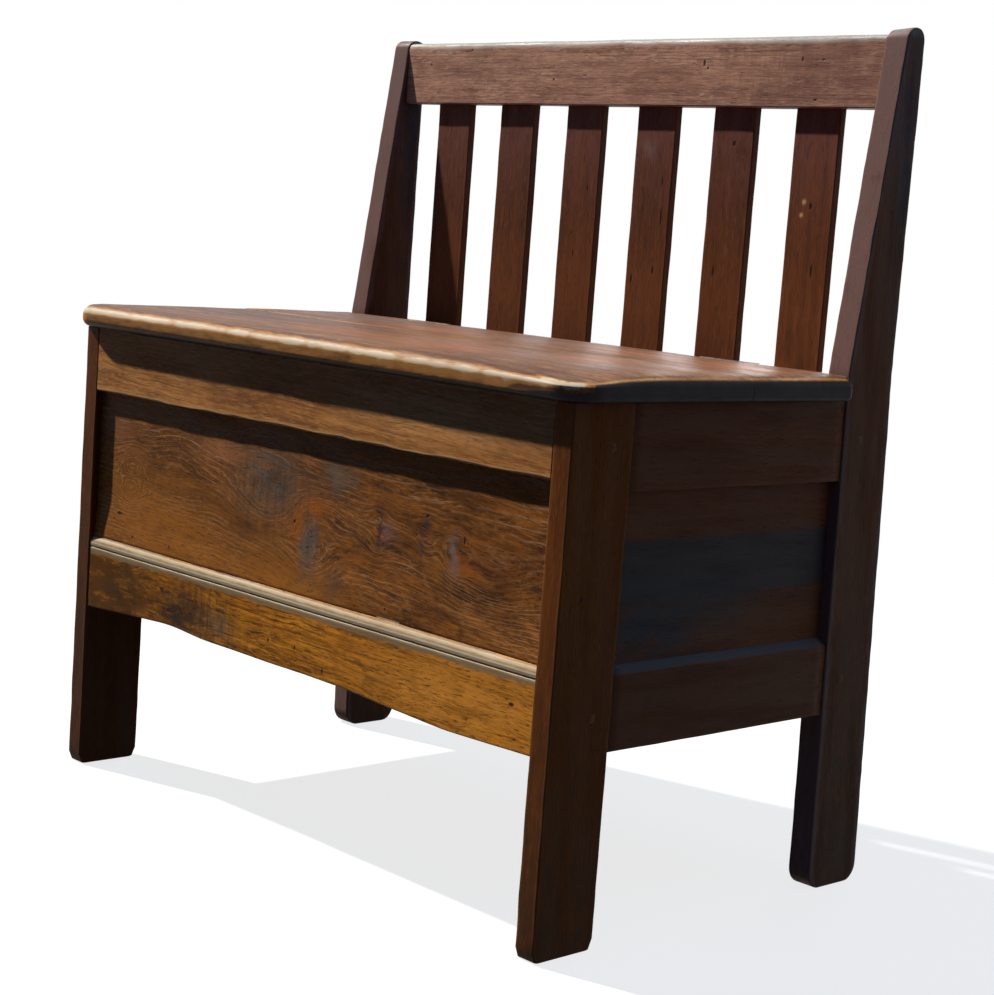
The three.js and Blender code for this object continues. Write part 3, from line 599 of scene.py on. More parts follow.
def stile(side, name):
    """A front stile: its foot's corners draw in by a quarter round of the foot's own radius."""
    inner, outer = sorted([side * STILE_INSIDE, side * FRAME_HALF])

    def corners(along):
        fall = eased(along, TOE_ROUND)
        return four_corners(inner, outer, STILE_FRONT + fall, STILE_BACK - fall)

    piece = length_of_wood(
        f"shaped_{name}", corners, 0.0014, 1.0, 0.0, STILE_TOP, "z", 11 + side, end_ease=0.0012, rough=0.5,
        spacing=0.009, unevenly=0.00014,
    )
    share = 0.9 if side > 0 else 0.62  # the left one is darker
    finish = frame_finish(
        f"stile oak {name}", "zyx", 3 + side, heart=(0.02, side * FRAME_HALF + 0.06),
        pale=dimmed(rgb(116, 62, 16), share), mid=dimmed(rgb(100, 50, 10), share), dark=rgb(56, 28, 10),
        stains=[(0.0, STILE_FRONT, 0.24, 0.2, 0.8, dimmed(rgb(66, 38, 16), share))],
        flecks=0.25, fleck=rgb(140, 84, 32), holes=[(0.3116, -0.1927, 0.0026, 0.0022)] if side > 0 else (),
    )
    return settled(piece, "bench", [name], finish)


def post(side, name):
    """A rear post: front and back edges by height, with its heel and toe drawn in by a quarter round. Its
    top is a half round, where the edges lie sqrt(r^2 - h^2) from the middle, and is worn down towards the
    inside on the right, and as a whole on the left."""
    inner, outer = sorted([side * POST_INSIDE, side * FRAME_HALF])
    radius = POST_TOP_WIDTH / 2
    crown = POST_TOP - radius
    edge_radius, end_ease, worn_height = 1.5 * MM, 2 * MM, 30 * MM
    whole = stations(0.0, crown, edge_radius, 0.009)
    foot = HEEL_ROUND * (1 - np.cos(np.linspace(0, math.pi / 2, 9)))
    top = crown + radius * np.sin(np.linspace(0, math.pi / 2, 16))
    along = np.unique(np.round(np.concatenate([whole, foot, top]), 6))

    fall = eased(along, HEEL_ROUND)
    low, high = post_front(along) + fall, post_back(along) - fall
    middle = POST_BACK - radius
    above = np.clip(along - crown, 0, radius)
    chord = np.sqrt(np.maximum(radius**2 - above**2, 1e-8))
    low = np.where(along > crown, np.maximum(low, middle - chord), low)
    high = np.where(along > crown, middle + chord, high)
    fall = eased(np.minimum(along, POST_TOP - along), end_ease)
    outline = four_corners(inner + fall, outer - fall, low, high)
    spots = edge_spots(along, 4, side * 0.3)
    uneven = 1 + 0.4 * unevenness(spots, 0.03, 21 + side) + 0.3 * unevenness(spots, 0.01, 25 + side)
    size = np.minimum(edge_radius * uneven, 0.4 * (high - low)[:, None])
    ring, wear = rounded(outline, size, np.ones(4))
    points = upright(along, ring, "z")
    # painted sky reflection: the whole front face takes the pinkish-grey half-worn tone, while the wear on
    # the arrises is real
    front_sheen = 0.46 * bell(points[..., 1] - post_front(points[..., 2]), 1.2 * MM)
    wear = np.maximum(0.6 * wear[None], front_sheen)
    inward = (FRAME_HALF - np.abs(points[..., 0])) / (FRAME_HALF - POST_INSIDE)
    near_top = climb(points[..., 2], POST_TOP - worn_height, worn_height) ** 2
    points[..., 2] -= near_top * (0.2 * MM + 2 * MM * inward if side > 0 else 2.5 * MM)
    points = points + waver(points, 0.00014, 31 + side)
    piece = skin(f"shaped_{name}", points, wear)
    silver = rgb(134, 130, 126)
    finish = frame_finish(
        f"post oak {name}", "zyx", 8 + side, heart=(0.09, side * FRAME_HALF - 0.08), worn=rgb(118, 86, 72),
        # the half-worn tone is the front face's painted sky reflection
        half_worn=rgb(110, 83, 75), wear=0.9,
        stains=[
            (POST_TOP - 0.001, POST_BACK - 0.012, 0.009, 0.05, 1.0, silver),
            # a painted sky reflection high on the front, and painted shade high on the sides towards the back
            (POST_TOP - 0.04, POST_BACK - 0.031, 0.08, 0.008, 0.7, rgb(104, 90, 98)),
            (0.72, POST_BACK - 0.004, 0.12, 0.022, 0.9, rgb(42, 38, 50)),
            (0.0, POST_BACK, 0.35, 0.2, 0.85, rgb(48, 30, 19)),
        ],
        figure=[(0.71, POST_BACK - 0.04, 0.06, 0.02, 0.45, rgb(84, 62, 58))],
        holes=[(0.4433, 0.1692, 0.0016, 0.0012), (0.3158, 0.1895, 0.0016, 0.0014)] if side > 0 else (),
    )
    return settled(piece, "bench", [name], finish)


def between_stile_and_post(oblong_corners, size, worn, overlap):
    """An oblong carried from the stile to the raked post: its place is a share of the way there at each
    height. It runs past both by the overlap, or stops short of them by a negative one."""
    along = np.linspace(0, 1, len(size))
    ring, wear = rounded(np.broadcast_to(oblong_corners, (len(size), 4, 2)), size, worn)
    points = upright(along, ring, "y")
    front, end = STILE_BACK - overlap, post_front(points[..., 2]) + overlap
    points[..., 1] = front + points[..., 1] * (end - front)
    return points, wear


def side_rail(side, name, bevelled=False):
    """A side rail. A bevelled one's top edge is cut down to a slope from the panel out to its face."""
    low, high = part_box(name)
    bottom, top, face = low.z, high.z, max(abs(low.x), abs(high.x))
    inner, outer = sorted([side * (face - SIDE_RAIL_THICKNESS), side * face])
    about_length, spacing = 280 * MM, 12 * MM
    along = np.linspace(0, about_length, int((POST_FRONT - STILE_BACK) / spacing))
    spots = edge_spots(along, 4, side * 0.3)
    size = 0.0012 * (1 + 0.5 * unevenness(spots, 0.03, 41 + side + bottom))
    corners = oblong(inner, outer, bottom, top)
    points, wear = between_stile_and_post(corners, size, np.ones(4), -FIT_GAP)
    if bevelled:
        slope_width = face - abs(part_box("side_panel_right")[1].x)
        inward = climb(face - np.abs(points[..., 0]), 0, slope_width)
        points[..., 2] = np.minimum(points[..., 2], BEVEL_START + inward * (top - BEVEL_START))
    points = points + waver(points, 0.00018, 45 + side + bottom)
    piece = skin(f"shaped_{name}", points, wear)
    share = 0.7 if bevelled else 1.0
    # painted sky light: the upward slope of a lower rail is painted grey
    sky_lit_slope = [(BEVEL_START + 0.0002, BEVEL_START + 0.0016, 8, 9, 0.85, rgb(76, 75, 78))]
    finish = frame_finish(
        f"rail oak {name}", "yzx", 12 + side + bottom * 9, heart=(bottom - 0.04, side * FRAME_HALF - 0.03),
        pale=dimmed(FRAME_TONES["pale"], share), mid=dimmed(FRAME_TONES["mid"], share),
        washes=sky_lit_slope if bevelled else (),
    )
    return settled(piece, "bench", [name], finish)


def side_panel(side, name):
    """A side panel, housed in the stile and in the raked post. Its grey band and patches are a painted dark
    reflection, and the warm patch low towards the back is painted reflected light.
    """
    low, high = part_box(name)
    corners = oblong(low.x, high.x, low.z, high.z)
    points, wear = between_stile_and_post(corners, np.full((30, 4), 0.0006), np.zeros(4), HOUSED)
    points = points + waver(points, 0.0003, 51 + side, size=0.09)
    piece = skin(f"shaped_{name}", points, wear)
    # painted dark reflection over the panel's middle and lower part; the warm stain below it is painted
    # reflected light
    painted_dark_reflection = rgb(46, 46, 48)
    finish = frame_finish(
        f"side panel oak {name}", "yzx", 18 + side, heart=(0.44, side * FRAME_HALF - 0.06), rings=0.12,
        streaks=0.2, mottle=0.2,
        stains=[
            (-0.1, 0.285, 0.09, 0.045, 1.0, painted_dark_reflection), (0.0, 0.3, 0.11, 0.02, 0.7, painted_dark_reflection),
            (0.1, 0.268, 0.08, 0.018, 0.5, rgb(104, 62, 36)),
        ],
        washes=[(0.296, 0.306, 0.350, 0.360, 0.9, painted_dark_reflection)],
    )
    return settled(piece, "bench", [name], finish)


for side, hand in ((1, "right"), (-1, "left")):
    stile(side, f"front_stile_{hand}")
    post(side, f"rear_post_{hand}")
    side_rail(side, f"side_upper_rail_{hand}")
    side_rail(side, f"side_lower_rail_{hand}", bevelled=True)
    side_panel(side, f"side_panel_{hand}")

PEG_TONES = {"pale": rgb(94, 56, 32), "mid": rgb(80, 46, 26), "dark": rgb(48, 27, 16)}


def peg(node):
    """A peg's end, a low dome: its height falls with the square of the radius."""
    low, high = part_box(node)
    side = 1 if low.x > 0 else -1
    outer = max(abs(low.x), abs(high.x))
    radius = (high.z - low.z) / 2
    centre = (0, (low.y + high.y) / 2, (low.z + high.z) / 2)
    dome_height, length = 0.4 * MM, 20 * MM
    share = np.linspace(0.02, 1, 9)
    dome = np.stack([radius * share, outer - dome_height * share**2], -1)
    shank = [[radius, outer - 4 * MM], [radius, outer - length], [radius * 0.1, outer - length]]
    piece = turned(f"shaped_{node}", [*dome, *shank], centre, (side, 0, 0), around=28)
    finish = oak(
        f"peg oak {node}", "xyz", **PEG_TONES, heart=(centre[1] + 0.003, centre[2]), ring_gap=0.0022,
        sway=0.001, seed=centre[1] * 10,
    )
    return settled(piece, "bench", [node], finish)


for hand in ("right", "left"):
    for number in range(1, 5):
        peg(f"frame_peg_{number}_{hand}")


# Front

RAIL_HALF = STILE_INSIDE - FIT_GAP
front_panel_low, front_panel_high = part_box("front_panel")
upper_rail_low, upper_rail_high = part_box("front_upper_rail")
lower_rail_low, lower_rail_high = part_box("front_lower_rail")


def front_upper_rail():
    """The rail under the seat's front edge."""
    low = (-RAIL_HALF, upper_rail_low.y, upper_rail_low.z)
    high = (RAIL_HALF, upper_rail_low.y + FRONT_RAIL_THICKNESS, upper_rail_high.z)
    piece = board("shaped_front_upper_rail", low, high, "x", 61, radius=0.0018, rough=0.6)
    finish = oak(
        "upper rail oak", "xzy", rgb(200, 138, 76), rgb(172, 109, 54), rgb(98, 56, 26), heart=(0.52, -0.16),
        ring_gap=0.005, sway=0.008, streaks=0.55, bands=0.5, rings=0.3, flecks=0.35, fibres=0.45, mottle=0.45,
        fleck=rgb(206, 160, 112), seed=21, worn=rgb(205, 160, 106), grime=0.3, level=0.05,
        stains=[
            (-0.12, 0.432, 0.09, 0.01, 0.5, rgb(104, 64, 36)),
            (0.2, 0.44, 0.12, 0.014, 0.35, rgb(196, 146, 92)),
        ],
    )
    return settled(piece, "bench", ["front_upper_rail"], finish)


# The worn lower edge of the lower rail: share of the way from its middle to an end, and lift in mm
WAVE = [
    (-1, 0), (-0.7, 6.1), (-0.55, 9), (-0.38, 4.9), (-0.08, 4.5), (0.12, 4.8), (0.31, 3.8), (0.44, 0.9),
    (0.68, -2.7), (1, 0),
]
# The same rail's outline: mm back from its face and up from the groove, edge radius in mm, and wear. The
# first and the last corner are its lower edge, whose height comes from the wave.
MOULDING = [
    (0, -65, 1.6, 0.1), (0, 0, 0.9, 0.9), (1.1, 1.0, 0.3, 0), (0.1, 2.2, 0.5, 0.95), (-0.1, 4.8, 2.0, 1),
    (0.7, 7.4, 2.5, 0.6), (2.3, 9.8, 3.0, 1), (4.6, 11.9, 0.4, 0.1), (5.5, 12.5, 0.3, 0.7),
    (5.5, 14.2, 0.5, 1), (21, 14.2, 0.8, 0.1), (21, -65, 1.6, 0.1),
]


def front_lower_rail():
    """The rail with the run moulding: face, groove, nose, quarter round and fillet as one outline, whose
    bottom edge rises and falls along the rail by the lifts of the wave, smoothed by a running mean."""
    back, up, radii, worn = np.array(MOULDING[::-1]).T
    corners = np.stack([lower_rail_low.y + MM * back, lower_rail_high.z + MM * (up - up.max())], -1)
    places, lifts = np.array(WAVE).T * [[RAIL_HALF], [MM]]

    def outline(along):
        fine = np.linspace(-RAIL_HALF, RAIL_HALF, 400)
        smooth = np.interp(fine, places, lifts)
        width = np.hanning(41)
        smooth = np.convolve(np.pad(smooth, 20, mode="edge"), width / width.sum(), mode="valid")
        rings = np.broadcast_to(corners, (len(along), *corners.shape)).copy()
        rings[:, [0, -1], 1] = (LOWER_RAIL_BOTTOM + np.interp(along, fine, smooth))[:, None]
        return rings

    piece = length_of_wood(
        "shaped_front_lower_rail", outline, radii * MM, worn, -RAIL_HALF, RAIL_HALF, "x", 71,
        end_ease=0.0005, rough=0.25, spacing=0.008, unevenly=0.00022,
    )
    finish = oak(
        "lower rail oak", "xzy", rgb(218, 142, 40), rgb(190, 112, 26), rgb(80, 42, 10), heart=(0.26, -0.17),
        ring_gap=0.0062, sway=0.007, swirl=1.4, rings=0.5, streaks=0.95, bands=0.6, fibres=0.6, mottle=0.75,
        pores=0.75, flecks=0.35, fleck=rgb(214, 160, 84), dashes=(100, 560), seed=33, slope=0.012, level=0.04,
        knots=[
            (-0.163, 0.208, 0.035, 0.024, 0.0, 0.9, 0.3), (-0.236, 0.222, 0.035, 0.022, -0.008, 0.6, 0.0),
            (-0.205, 0.216, 0.009, 0.006, 0.0, 0.8, 0.5),
        ],
        stains=[
            (-0.33, 0.205, 0.16, 0.07, 0.95, rgb(86, 50, 6)), (-0.285, 0.2, 0.03, 0.03, 0.5, rgb(50, 32, 6)),
            (0.26, 0.205, 0.16, 0.05, 0.6, rgb(226, 148, 58)),
            (-0.175, 0.196, 0.04, 0.014, 0.95, rgb(34, 22, 12)),
            (-0.15, 0.207, 0.035, 0.02, 0.6, rgb(66, 48, 36)),
            (-0.105, 0.199, 0.024, 0.014, 0.55, rgb(112, 94, 74)),
            (-0.068, 0.215, 0.008, 0.03, 0.4, rgb(196, 128, 30)),
        ],
        figure=[
            (-0.135, 0.208, 0.06, 0.05, 0.6, rgb(66, 38, 16)), (-0.27, 0.2, 0.04, 0.04, 0.4, rgb(58, 36, 12)),
        ],
        holes=[
            (-0.022, 0.202, 0.0013, 0.002), (0.020, 0.203, 0.0012, 0.002), (0.063, 0.189, 0.0012, 0.0024),
            (-0.261, 0.184, 0.001, 0.002), (0.318, 0.214, 0.003, 0.0014), (-0.205, 0.219, 0.003, 0.0016),
        ],
        worn=rgb(166, 149, 120), half_worn=rgb(132, 108, 76), wear=0.95,
    )
    return settled(piece, "bench", ["front_lower_rail"], finish)


def front_panel():
    """The panel board: its face comes forward towards the foot by a smooth step, 3t^2 - 2t^3, and its back
    follows."""
    rows = np.linspace(front_panel_low.z + 2 * MM, front_panel_high.z - 2 * MM, 26)
    lean = climb(lower_rail_high.z + 45 * MM - rows, 0, 53 * MM)
    face = front_panel_low.y + PANEL_BOW - PANEL_BOW * lean * lean * (3 - 2 * lean)
    front = np.stack([face, rows], -1)
    back = np.stack([face + PANEL_THICKNESS, rows], -1)[::-1]
    ring = np.concatenate([front, back])
    half = STILE_INSIDE + HOUSED
    along = np.linspace(-half, half, 90)
    points = upright(along, np.broadcast_to(ring, (len(along), *ring.shape)), "x")
    points = points + waver(points, 0.00035, 81, size=0.05)
    piece = skin("shaped_front_panel", points, 0.0)
    grey, gold, rust = rgb(104, 88, 74), rgb(168, 104, 36), rgb(168, 92, 32)
    finish = oak(
        "panel oak", "xzy", rgb(154, 92, 36), rgb(104, 60, 24), rgb(38, 21, 9), heart=(0.44, -0.12),
        # the pale ring lines and the pale dashes are painted glints of light on the late wood and in the
        # pores
        ring_gap=0.0046, sway=0.006, swirl=1.6, streaks=0.4, rings=0.85, ring_start=0.66,
        line=rgb(170, 124, 84), bands=0.55, fibres=0.45, mottle=0.75, pores=0.55, flecks=0.5,
        fleck=rgb(172, 124, 78), dashes=(110, 620), seed=5, relief=0.7, grime=0.6, slope=0.06, level=0.04,
        knots=[
            (0.024, 0.304, 0.04, 0.036, 0.006, 1.0, 0.0), (-0.045, 0.352, 0.055, 0.04, 0.01, 0.9, 0.0),
            (0.122, 0.330, 0.016, 0.022, 0.004, 0.7, 0.0), (0.188, 0.337, 0.014, 0.018, 0.004, 0.6, 0.0),
            (0.227, 0.332, 0.016, 0.02, 0.005, 0.8, 0.0), (0.275, 0.318, 0.06, 0.03, 0.016, 0.5, 0.0),
            (-0.282, 0.325, 0.02, 0.02, 0.0, 2.2, 0.0), (-0.2, 0.345, 0.05, 0.03, -0.006, 0.4, 0.0),
        ],
        stains=[
            (-0.22, 0.28, 0.17, 0.06, 0.5, gold), (-0.02, 0.255, 0.11, 0.022, 0.6, gold),
            (-0.045, 0.355, 0.045, 0.032, 0.8, grey), (0.024, 0.306, 0.011, 0.032, 0.95, grey),
            (0.029, 0.340, 0.022, 0.009, 0.7, rust), (0.004, 0.318, 0.008, 0.014, 0.7, rust),
            (0.062, 0.374, 0.02, 0.014, 0.7, grey), (0.064, 0.268, 0.012, 0.022, 0.55, rgb(84, 60, 46)),
            (0.121, 0.330, 0.003, 0.018, 0.8, rgb(44, 36, 42)),
            (0.134, 0.332, 0.01, 0.01, 0.45, rgb(120, 96, 100)),
            (0.188, 0.349, 0.005, 0.006, 0.8, rgb(60, 48, 48)),
            (0.186, 0.325, 0.004, 0.012, 0.6, rgb(70, 56, 60)),
            (0.227, 0.325, 0.006, 0.016, 0.85, rgb(124, 108, 100)), (0.240, 0.318, 0.012, 0.008, 0.7, rust),
            (0.205, 0.308, 0.016, 0.009, 0.5, gold), (0.3, 0.33, 0.05, 0.02, 0.35, rgb(92, 50, 26)),
            (-0.13, 0.372, 0.04, 0.012, 0.5, rgb(176, 116, 76)),
            (-0.315, 0.375, 0.03, 0.02, 0.5, rgb(122, 82, 60)),
        ],
        figure=[
            (-0.05, 0.35, 0.06, 0.04, 0.5, rgb(70, 52, 38)), (0.024, 0.31, 0.02, 0.04, 0.35, rgb(74, 60, 50)),
        ],
        holes=[
            (-0.3, 0.283, 0.004, 0.0016), (-0.272, 0.262, 0.0014, 0.0014), (-0.205, 0.262, 0.0012, 0.0012),
            (-0.001, 0.321, 0.0018, 0.0016), (0.238, 0.341, 0.0012, 0.003), (0.188, 0.355, 0.002, 0.0014),
            (0.14, 0.262, 0.0012, 0.0012),
        ],
    )
    return settled(piece, "bench", ["front_panel"], finish)


front_upper_rail()
front_lower_rail()
front_panel()


# Back

BACK_HALF = POST_INSIDE - FIT_GAP
crest_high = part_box("crest_rail")[1]
CREST_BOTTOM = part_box("slat_1")[1].z - CREST_HOUSING
CREST_FRONT = crest_high.y - CREST_THICKNESS


def crest_rail():
    """The top rail of the back, with well-rounded upper edges."""
    top = crest_high.z + CREST_LIFT
    corners = oblong(CREST_FRONT, crest_high.y, CREST_BOTTOM, top)
    radii = np.array([1.4, 1.4, 6.5, 6.5]) * MM
    piece = length_of_wood(
        "shaped_crest_rail", corners, radii, [0.8, 0.5, 0.7, 0.9], -BACK_HALF, BACK_HALF, "x", 91,
        rough=0.2, unevenly=0.0003,
    )
    finish = oak(
        "crest oak", "xzy", rgb(196, 148, 118), rgb(169, 121, 95), rgb(106, 64, 52), heart=(0.9, 0.12),
        ring_gap=0.003, sway=0.004, streaks=0.45, bands=0.4, rings=0.2, fibres=0.35, mottle=0.6, pores=0.55,
        flecks=0.55, fleck=rgb(206, 168, 136), dashes=(95, 540), worn=rgb(146, 136, 124), wear=0.6, seed=44,
        slope=0.004, level=0.11, washes=[(top - 0.0052, top - 0.0022, 8, 9, 0.95, rgb(136, 134, 126))],
        stains=[
            (0.3, 0.785, 0.1, 0.05, 0.55, rgb(118, 76, 64)), (0.0, 0.772, 0.12, 0.02, 0.3, rgb(122, 80, 68)),
        ],
        figure=[(0.22, 0.785, 0.12, 0.05, 0.3, rgb(110, 70, 56))],
        holes=[
            (-0.300, 0.792, 0.0014, 0.0014), (-0.231, 0.808, 0.0014, 0.0012),
            (-0.0965, 0.775, 0.0014, 0.0014),
            (0.119, 0.791, 0.0016, 0.003), (0.124, 0.786, 0.0013, 0.0012), (0.2445, 0.794, 0.0012, 0.0022),
            (0.270, 0.793, 0.0014, 0.0012), (0.264, 0.755, 0.002, 0.0012),
        ],
    )
    return settled(piece, "bench", ["crest_rail"], finish)


CHIP = rgb(190, 150, 104)
SLAT_MARKS = {
    3: {"holes": [
        (0.660, -0.040, 0.003, 0.001), (0.612, -0.060, 0.002, 0.0008), (0.590, -0.055, 0.003, 0.0009),
        (0.695, -0.079, 0.003, 0.001),
    ]},
    4: {
        "holes": [
            (0.634, 0.0695, 0.008, 0.0012), (0.671, 0.0677, 0.005, 0.0009), (0.579, 0.064, 0.004, 0.0014),
            (0.568, 0.0342, 0.005, 0.0011),
        ],
        "stains": [(0.705, 0.045, 0.009, 0.009, 0.6, rgb(112, 88, 78))],
    },
    5: {"holes": [(0.583, 0.147, 0.005, 0.0011), (0.712, 0.161, 0.0025, 0.0018)]},
    6: {
        "holes": [(0.654, 0.2645, 0.003, 0.0016), (0.591, 0.272, 0.006, 0.0012)],
        "stains": [
            (0.658, 0.2555, 0.0022, 0.0022, 1.2, CHIP), (0.645, 0.2533, 0.002, 0.002, 1.1, CHIP),
        ],
    },
}
SLAT_SHADES = {2: 0.8, 6: 1.35}  # one slat is darker than the others, and one paler


def slat(number):
    """A slat between the hidden rail and the crest rail."""
    low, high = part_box(f"slat_{number}")
    low = (low.x, low.y + SLAT_SETBACK, low.z + 6 * MM)
    high = (high.x, high.y + SLAT_SETBACK, CREST_BOTTOM + HOUSED)
    piece = board(f"shaped_slat_{number}", low, high, "z", 100 + number, rough=0.4)
    middle = (low[0] + high[0]) / 2
    marks = SLAT_MARKS.get(number, {})
    share = SLAT_SHADES.get(number, 1.0)
    finish = oak(
        f"slat oak {number}", "zxy", dimmed(rgb(99, 54, 28), share), dimmed(rgb(81, 42, 21), share),
        rgb(50, 28, 18), heart=(middle + 0.03 * (-1) ** number, CREST_FRONT + 0.03 + 0.004 * number),
        ring_gap=0.0062, sway=0.004, streaks=0.45, rings=0.3, bands=0.6, fibres=0.25, mottle=0.55, pores=0.4,
        worn=rgb(132, 82, 54), wear=0.25, flecks=0.25, fleck=rgb(146, 92, 56), dashes=(60, 560), grime=0.4,
        level=0.05, seed=50 + number * 3, slope=0.015,
        stains=[
            (0.74, middle, 0.08, 0.1, 0.6, rgb(112, 70, 60)),
            (0.55, middle, 0.07, 0.1, 0.5, rgb(112, 62, 30)),
            *marks.get("stains", ()),
        ],
        holes=marks.get("holes", ()),
    )
    return settled(piece, "bench", [f"slat_{number}"], finish)


crest_rail()
for number in range(1, 7):
    slat(number)


# Inside and hidden boards

INSIDE_TONES = {
    "pale": rgb(150, 114, 80), "mid": rgb(128, 92, 62), "dark": rgb(88, 60, 38), "worn": rgb(160, 124, 88),
}


def inside_finish(name, order, seed, heart, share=1.0):
    """Clean, dry oak, its tones dimmed by a share."""
    tones = {tone: dimmed(colour, share) for tone, colour in INSIDE_TONES.items()}
    return oak(
        name, order, **tones, heart=heart, gloss=(0.6, 0.8), seed=seed, wear=0.4, streaks=0.5, fibres=0.45,
        pores=0.45,
    )


def plain_board(node, order, seed):
    """A board in the place of its solid. Its length lies along the first axis of the order. The hidden
    rails of the back stand between the posts, and are as thick as the crest rail."""
    low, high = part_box(node)
    if node in ("back_upper_rail", "back_lower_rail"):
        low = (-BACK_HALF, CREST_FRONT, low.z)
        high = (BACK_HALF, crest_high.y, high.z)
    batten = node.startswith("lid_batten")
    radius = 2 * MM if batten else 1.2 * MM
    piece = board(f"shaped_{node}", low, high, order[0], 130 + seed, radius=radius, rough=0.5, worn=0.8)
    heart = tuple((low[i] + high[i]) / 2 - 0.05 for i in map("xyz".index, order[1:]))
    finish = inside_finish(f"plain oak {node}", order, seed, heart)
    return settled(piece, "lid" if batten else "bench", [node], finish)


for seed, node, order in (
    (1, "back_upper_rail", "xzy"), (2, "back_lower_rail", "xzy"), (3, "back_panel", "xzy"),
    (4, "floor_board_front", "xyz"), (5, "floor_board_middle", "xyz"), (6, "floor_board_back", "xyz"),
    (8, "floor_cleat_front", "xyz"), (9, "floor_cleat_back", "xyz"), (10, "floor_cleat_right", "yxz"),
    (11, "floor_cleat_left", "yxz"), (12, "lid_batten_right", "yxz"), (13, "lid_batten_left", "yxz"),
):
    plain_board(node, order, seed)


def dressed(node, finish):
    """A solid that keeps its shape takes a finish of its own."""
    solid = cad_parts[node]
    solid.data.materials.clear()
    solid.data.materials.append(finish)


# The ledge is open to the air and has darkened with the seat
dressed("hinge_ledge", inside_finish("ledge oak", "xyz", 15, (0.1, 0.4), share=0.5))
hinge_iron = iron("hinge iron")
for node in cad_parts:
    if node.startswith("hinge_") and node != "hinge_ledge":
        dressed(node, hinge_iron)


# Seat

front_board_low, front_board_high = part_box("seat_front_board")
SEAT_HALF, SEAT_FRONT = front_board_high.x, front_board_low.y
SEAT_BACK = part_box("seat_back_board")[1].y
POCKET_GAP = 0.4 * MM  # room round each hinge leaf
JOINT_EASE = 1.1 * MM

# Wear in the seat's shape
CORNER_SUNK = 6.8 * MM  # how deep the right front corner is worn down
END_SUNK = 1.6 * MM  # and how deep the right end is
TOP_WORN = 0.2 * MM  # how far the whole top is worn down

# Wear and painted shade in its looks, by how far the nose has fallen below the top
BAND_FALL, BAND_WIDTH = 6.4 * MM, 3.6 * MM  # the pale band along the front
GOLD_FALL, GOLD_SOFT = 7.5 * MM, 0.6 * MM  # the gold wood below it
LINE_FALL, LINE_WIDTH = 2.2 * MM, 1.2 * MM  # the rubbed line along the right end
END_SHADE_FALL = 3.4 * MM  # the right end's painted shade below that line, partly darker end grain


def seat_stations(pockets=()):
    """Places along the seat: crowded as 1 - cos over each nose, closer over the corners, and doubled where
    a hinge pocket starts or ends."""
    turn = SEAT_NOSE * (1 - np.cos(np.linspace(0, math.pi / 2, 17)))
    corner = np.arange(SEAT_NOSE, SEAT_CORNER * 1.3, 0.002)[1:]
    edge = np.concatenate([turn, corner])
    inner = np.linspace(edge[-1] + 0.006, 2 * SEAT_HALF - edge[-1] - 0.006, 90)
    steps = [p + s * 0.0001 + SEAT_HALF for p in pockets for s in (-1, 1)]
    return np.sort(np.concatenate([edge, inner, 2 * SEAT_HALF - edge, steps])) - SEAT_HALF


def seat_wear(flat, shoulder, nose, joint, bottom, seed):
    """The wear of a plank's top and of its underside, with the shade painted on them, by how far the nose
    has fallen there.

    A band is rubbed pale along the front and the left end, lower down towards the right, and the wood
    below it is gold. The right end is painted dark below a thin rubbed line, partly as darker end grain
    and partly as painted shade, and its front corner is chipped. The joint's edge is rubbed a little.
    The underside is gold at the nose's foot and painted dark behind it, as painted shade.
    """
    x, depth = flat[..., 0], flat[..., 1]
    from_end, from_front = SEAT_HALF - x, depth - SEAT_FRONT
    past_end = np.maximum(SEAT_CORNER - SEAT_HALF + np.abs(x), 1e-6)
    past_front = np.maximum(SEAT_CORNER - from_front, 0)
    front = np.clip(1.4 * past_front**2 / (past_end**2 + past_front**2), 0, 1)
    left, right = (x < 0) * (1 - front), (x > 0) * (1 - front)
    front_and_left = front + 0.8 * left
    off_corner = climb(from_end, 0.035, 0.05)
    fallen = np.where(nose < 40 * MM, shoulder, 0)

    rightward = climb(x, -0.1, 0.4)
    band = bell(fallen - BAND_FALL - 2 * MM * rightward, BAND_WIDTH + 0.6 * MM * rightward)
    band = band * (1.05 + 0.3 * unevenness(flat, 0.012, seed + 8) + 0.25 * unevenness(flat, 0.004, seed + 11))
    gold = 0.36 / (1 + np.exp(-(fallen - GOLD_FALL) / GOLD_SOFT)) * off_corner
    line = (0.55 + 0.3 * unevenness(flat, 0.008, seed + 12)) * bell(fallen - LINE_FALL, LINE_WIDTH)
    # painted shade: the right end is darkened below the rubbed line, partly as darker end grain
    end_shade = 1.2 * climb(fallen, END_SHADE_FALL, 1.2 * MM)
    above = front_and_left * np.maximum(0.98 * band, gold) + right * (line - end_shade)
    ragged = 1.05 + 0.5 * unevenness(flat, 0.006, seed + 9) + 0.35 * unevenness(flat, 0.0025, seed + 10)
    from_chips = np.hypot((from_end - 24 * MM) / (28 * MM), (from_front - 4 * MM) / (20 * MM))
    chips = np.exp(-(from_chips**4)) * ragged * climb(fallen, 0.5 * MM, MM)
    seam = 0.4 * bell(joint, 1.4 * MM) * (nose > 12 * MM)
    for rubbed in (chips, seam):
        above = np.where(rubbed > 0.1, np.maximum(above, rubbed), above)

    nose_foot = climb(bottom, SEAT_HEIGHT - 21.5 * MM, 1.5 * MM)
    # painted shade: the underside behind the nose's foot is darkened
    beneath = front_and_left * (1.45 * nose_foot * off_corner - 1.1) - 1.2 * right
    return above, beneath * np.clip(1.5 - nose / (10 * MM), 0, 1)


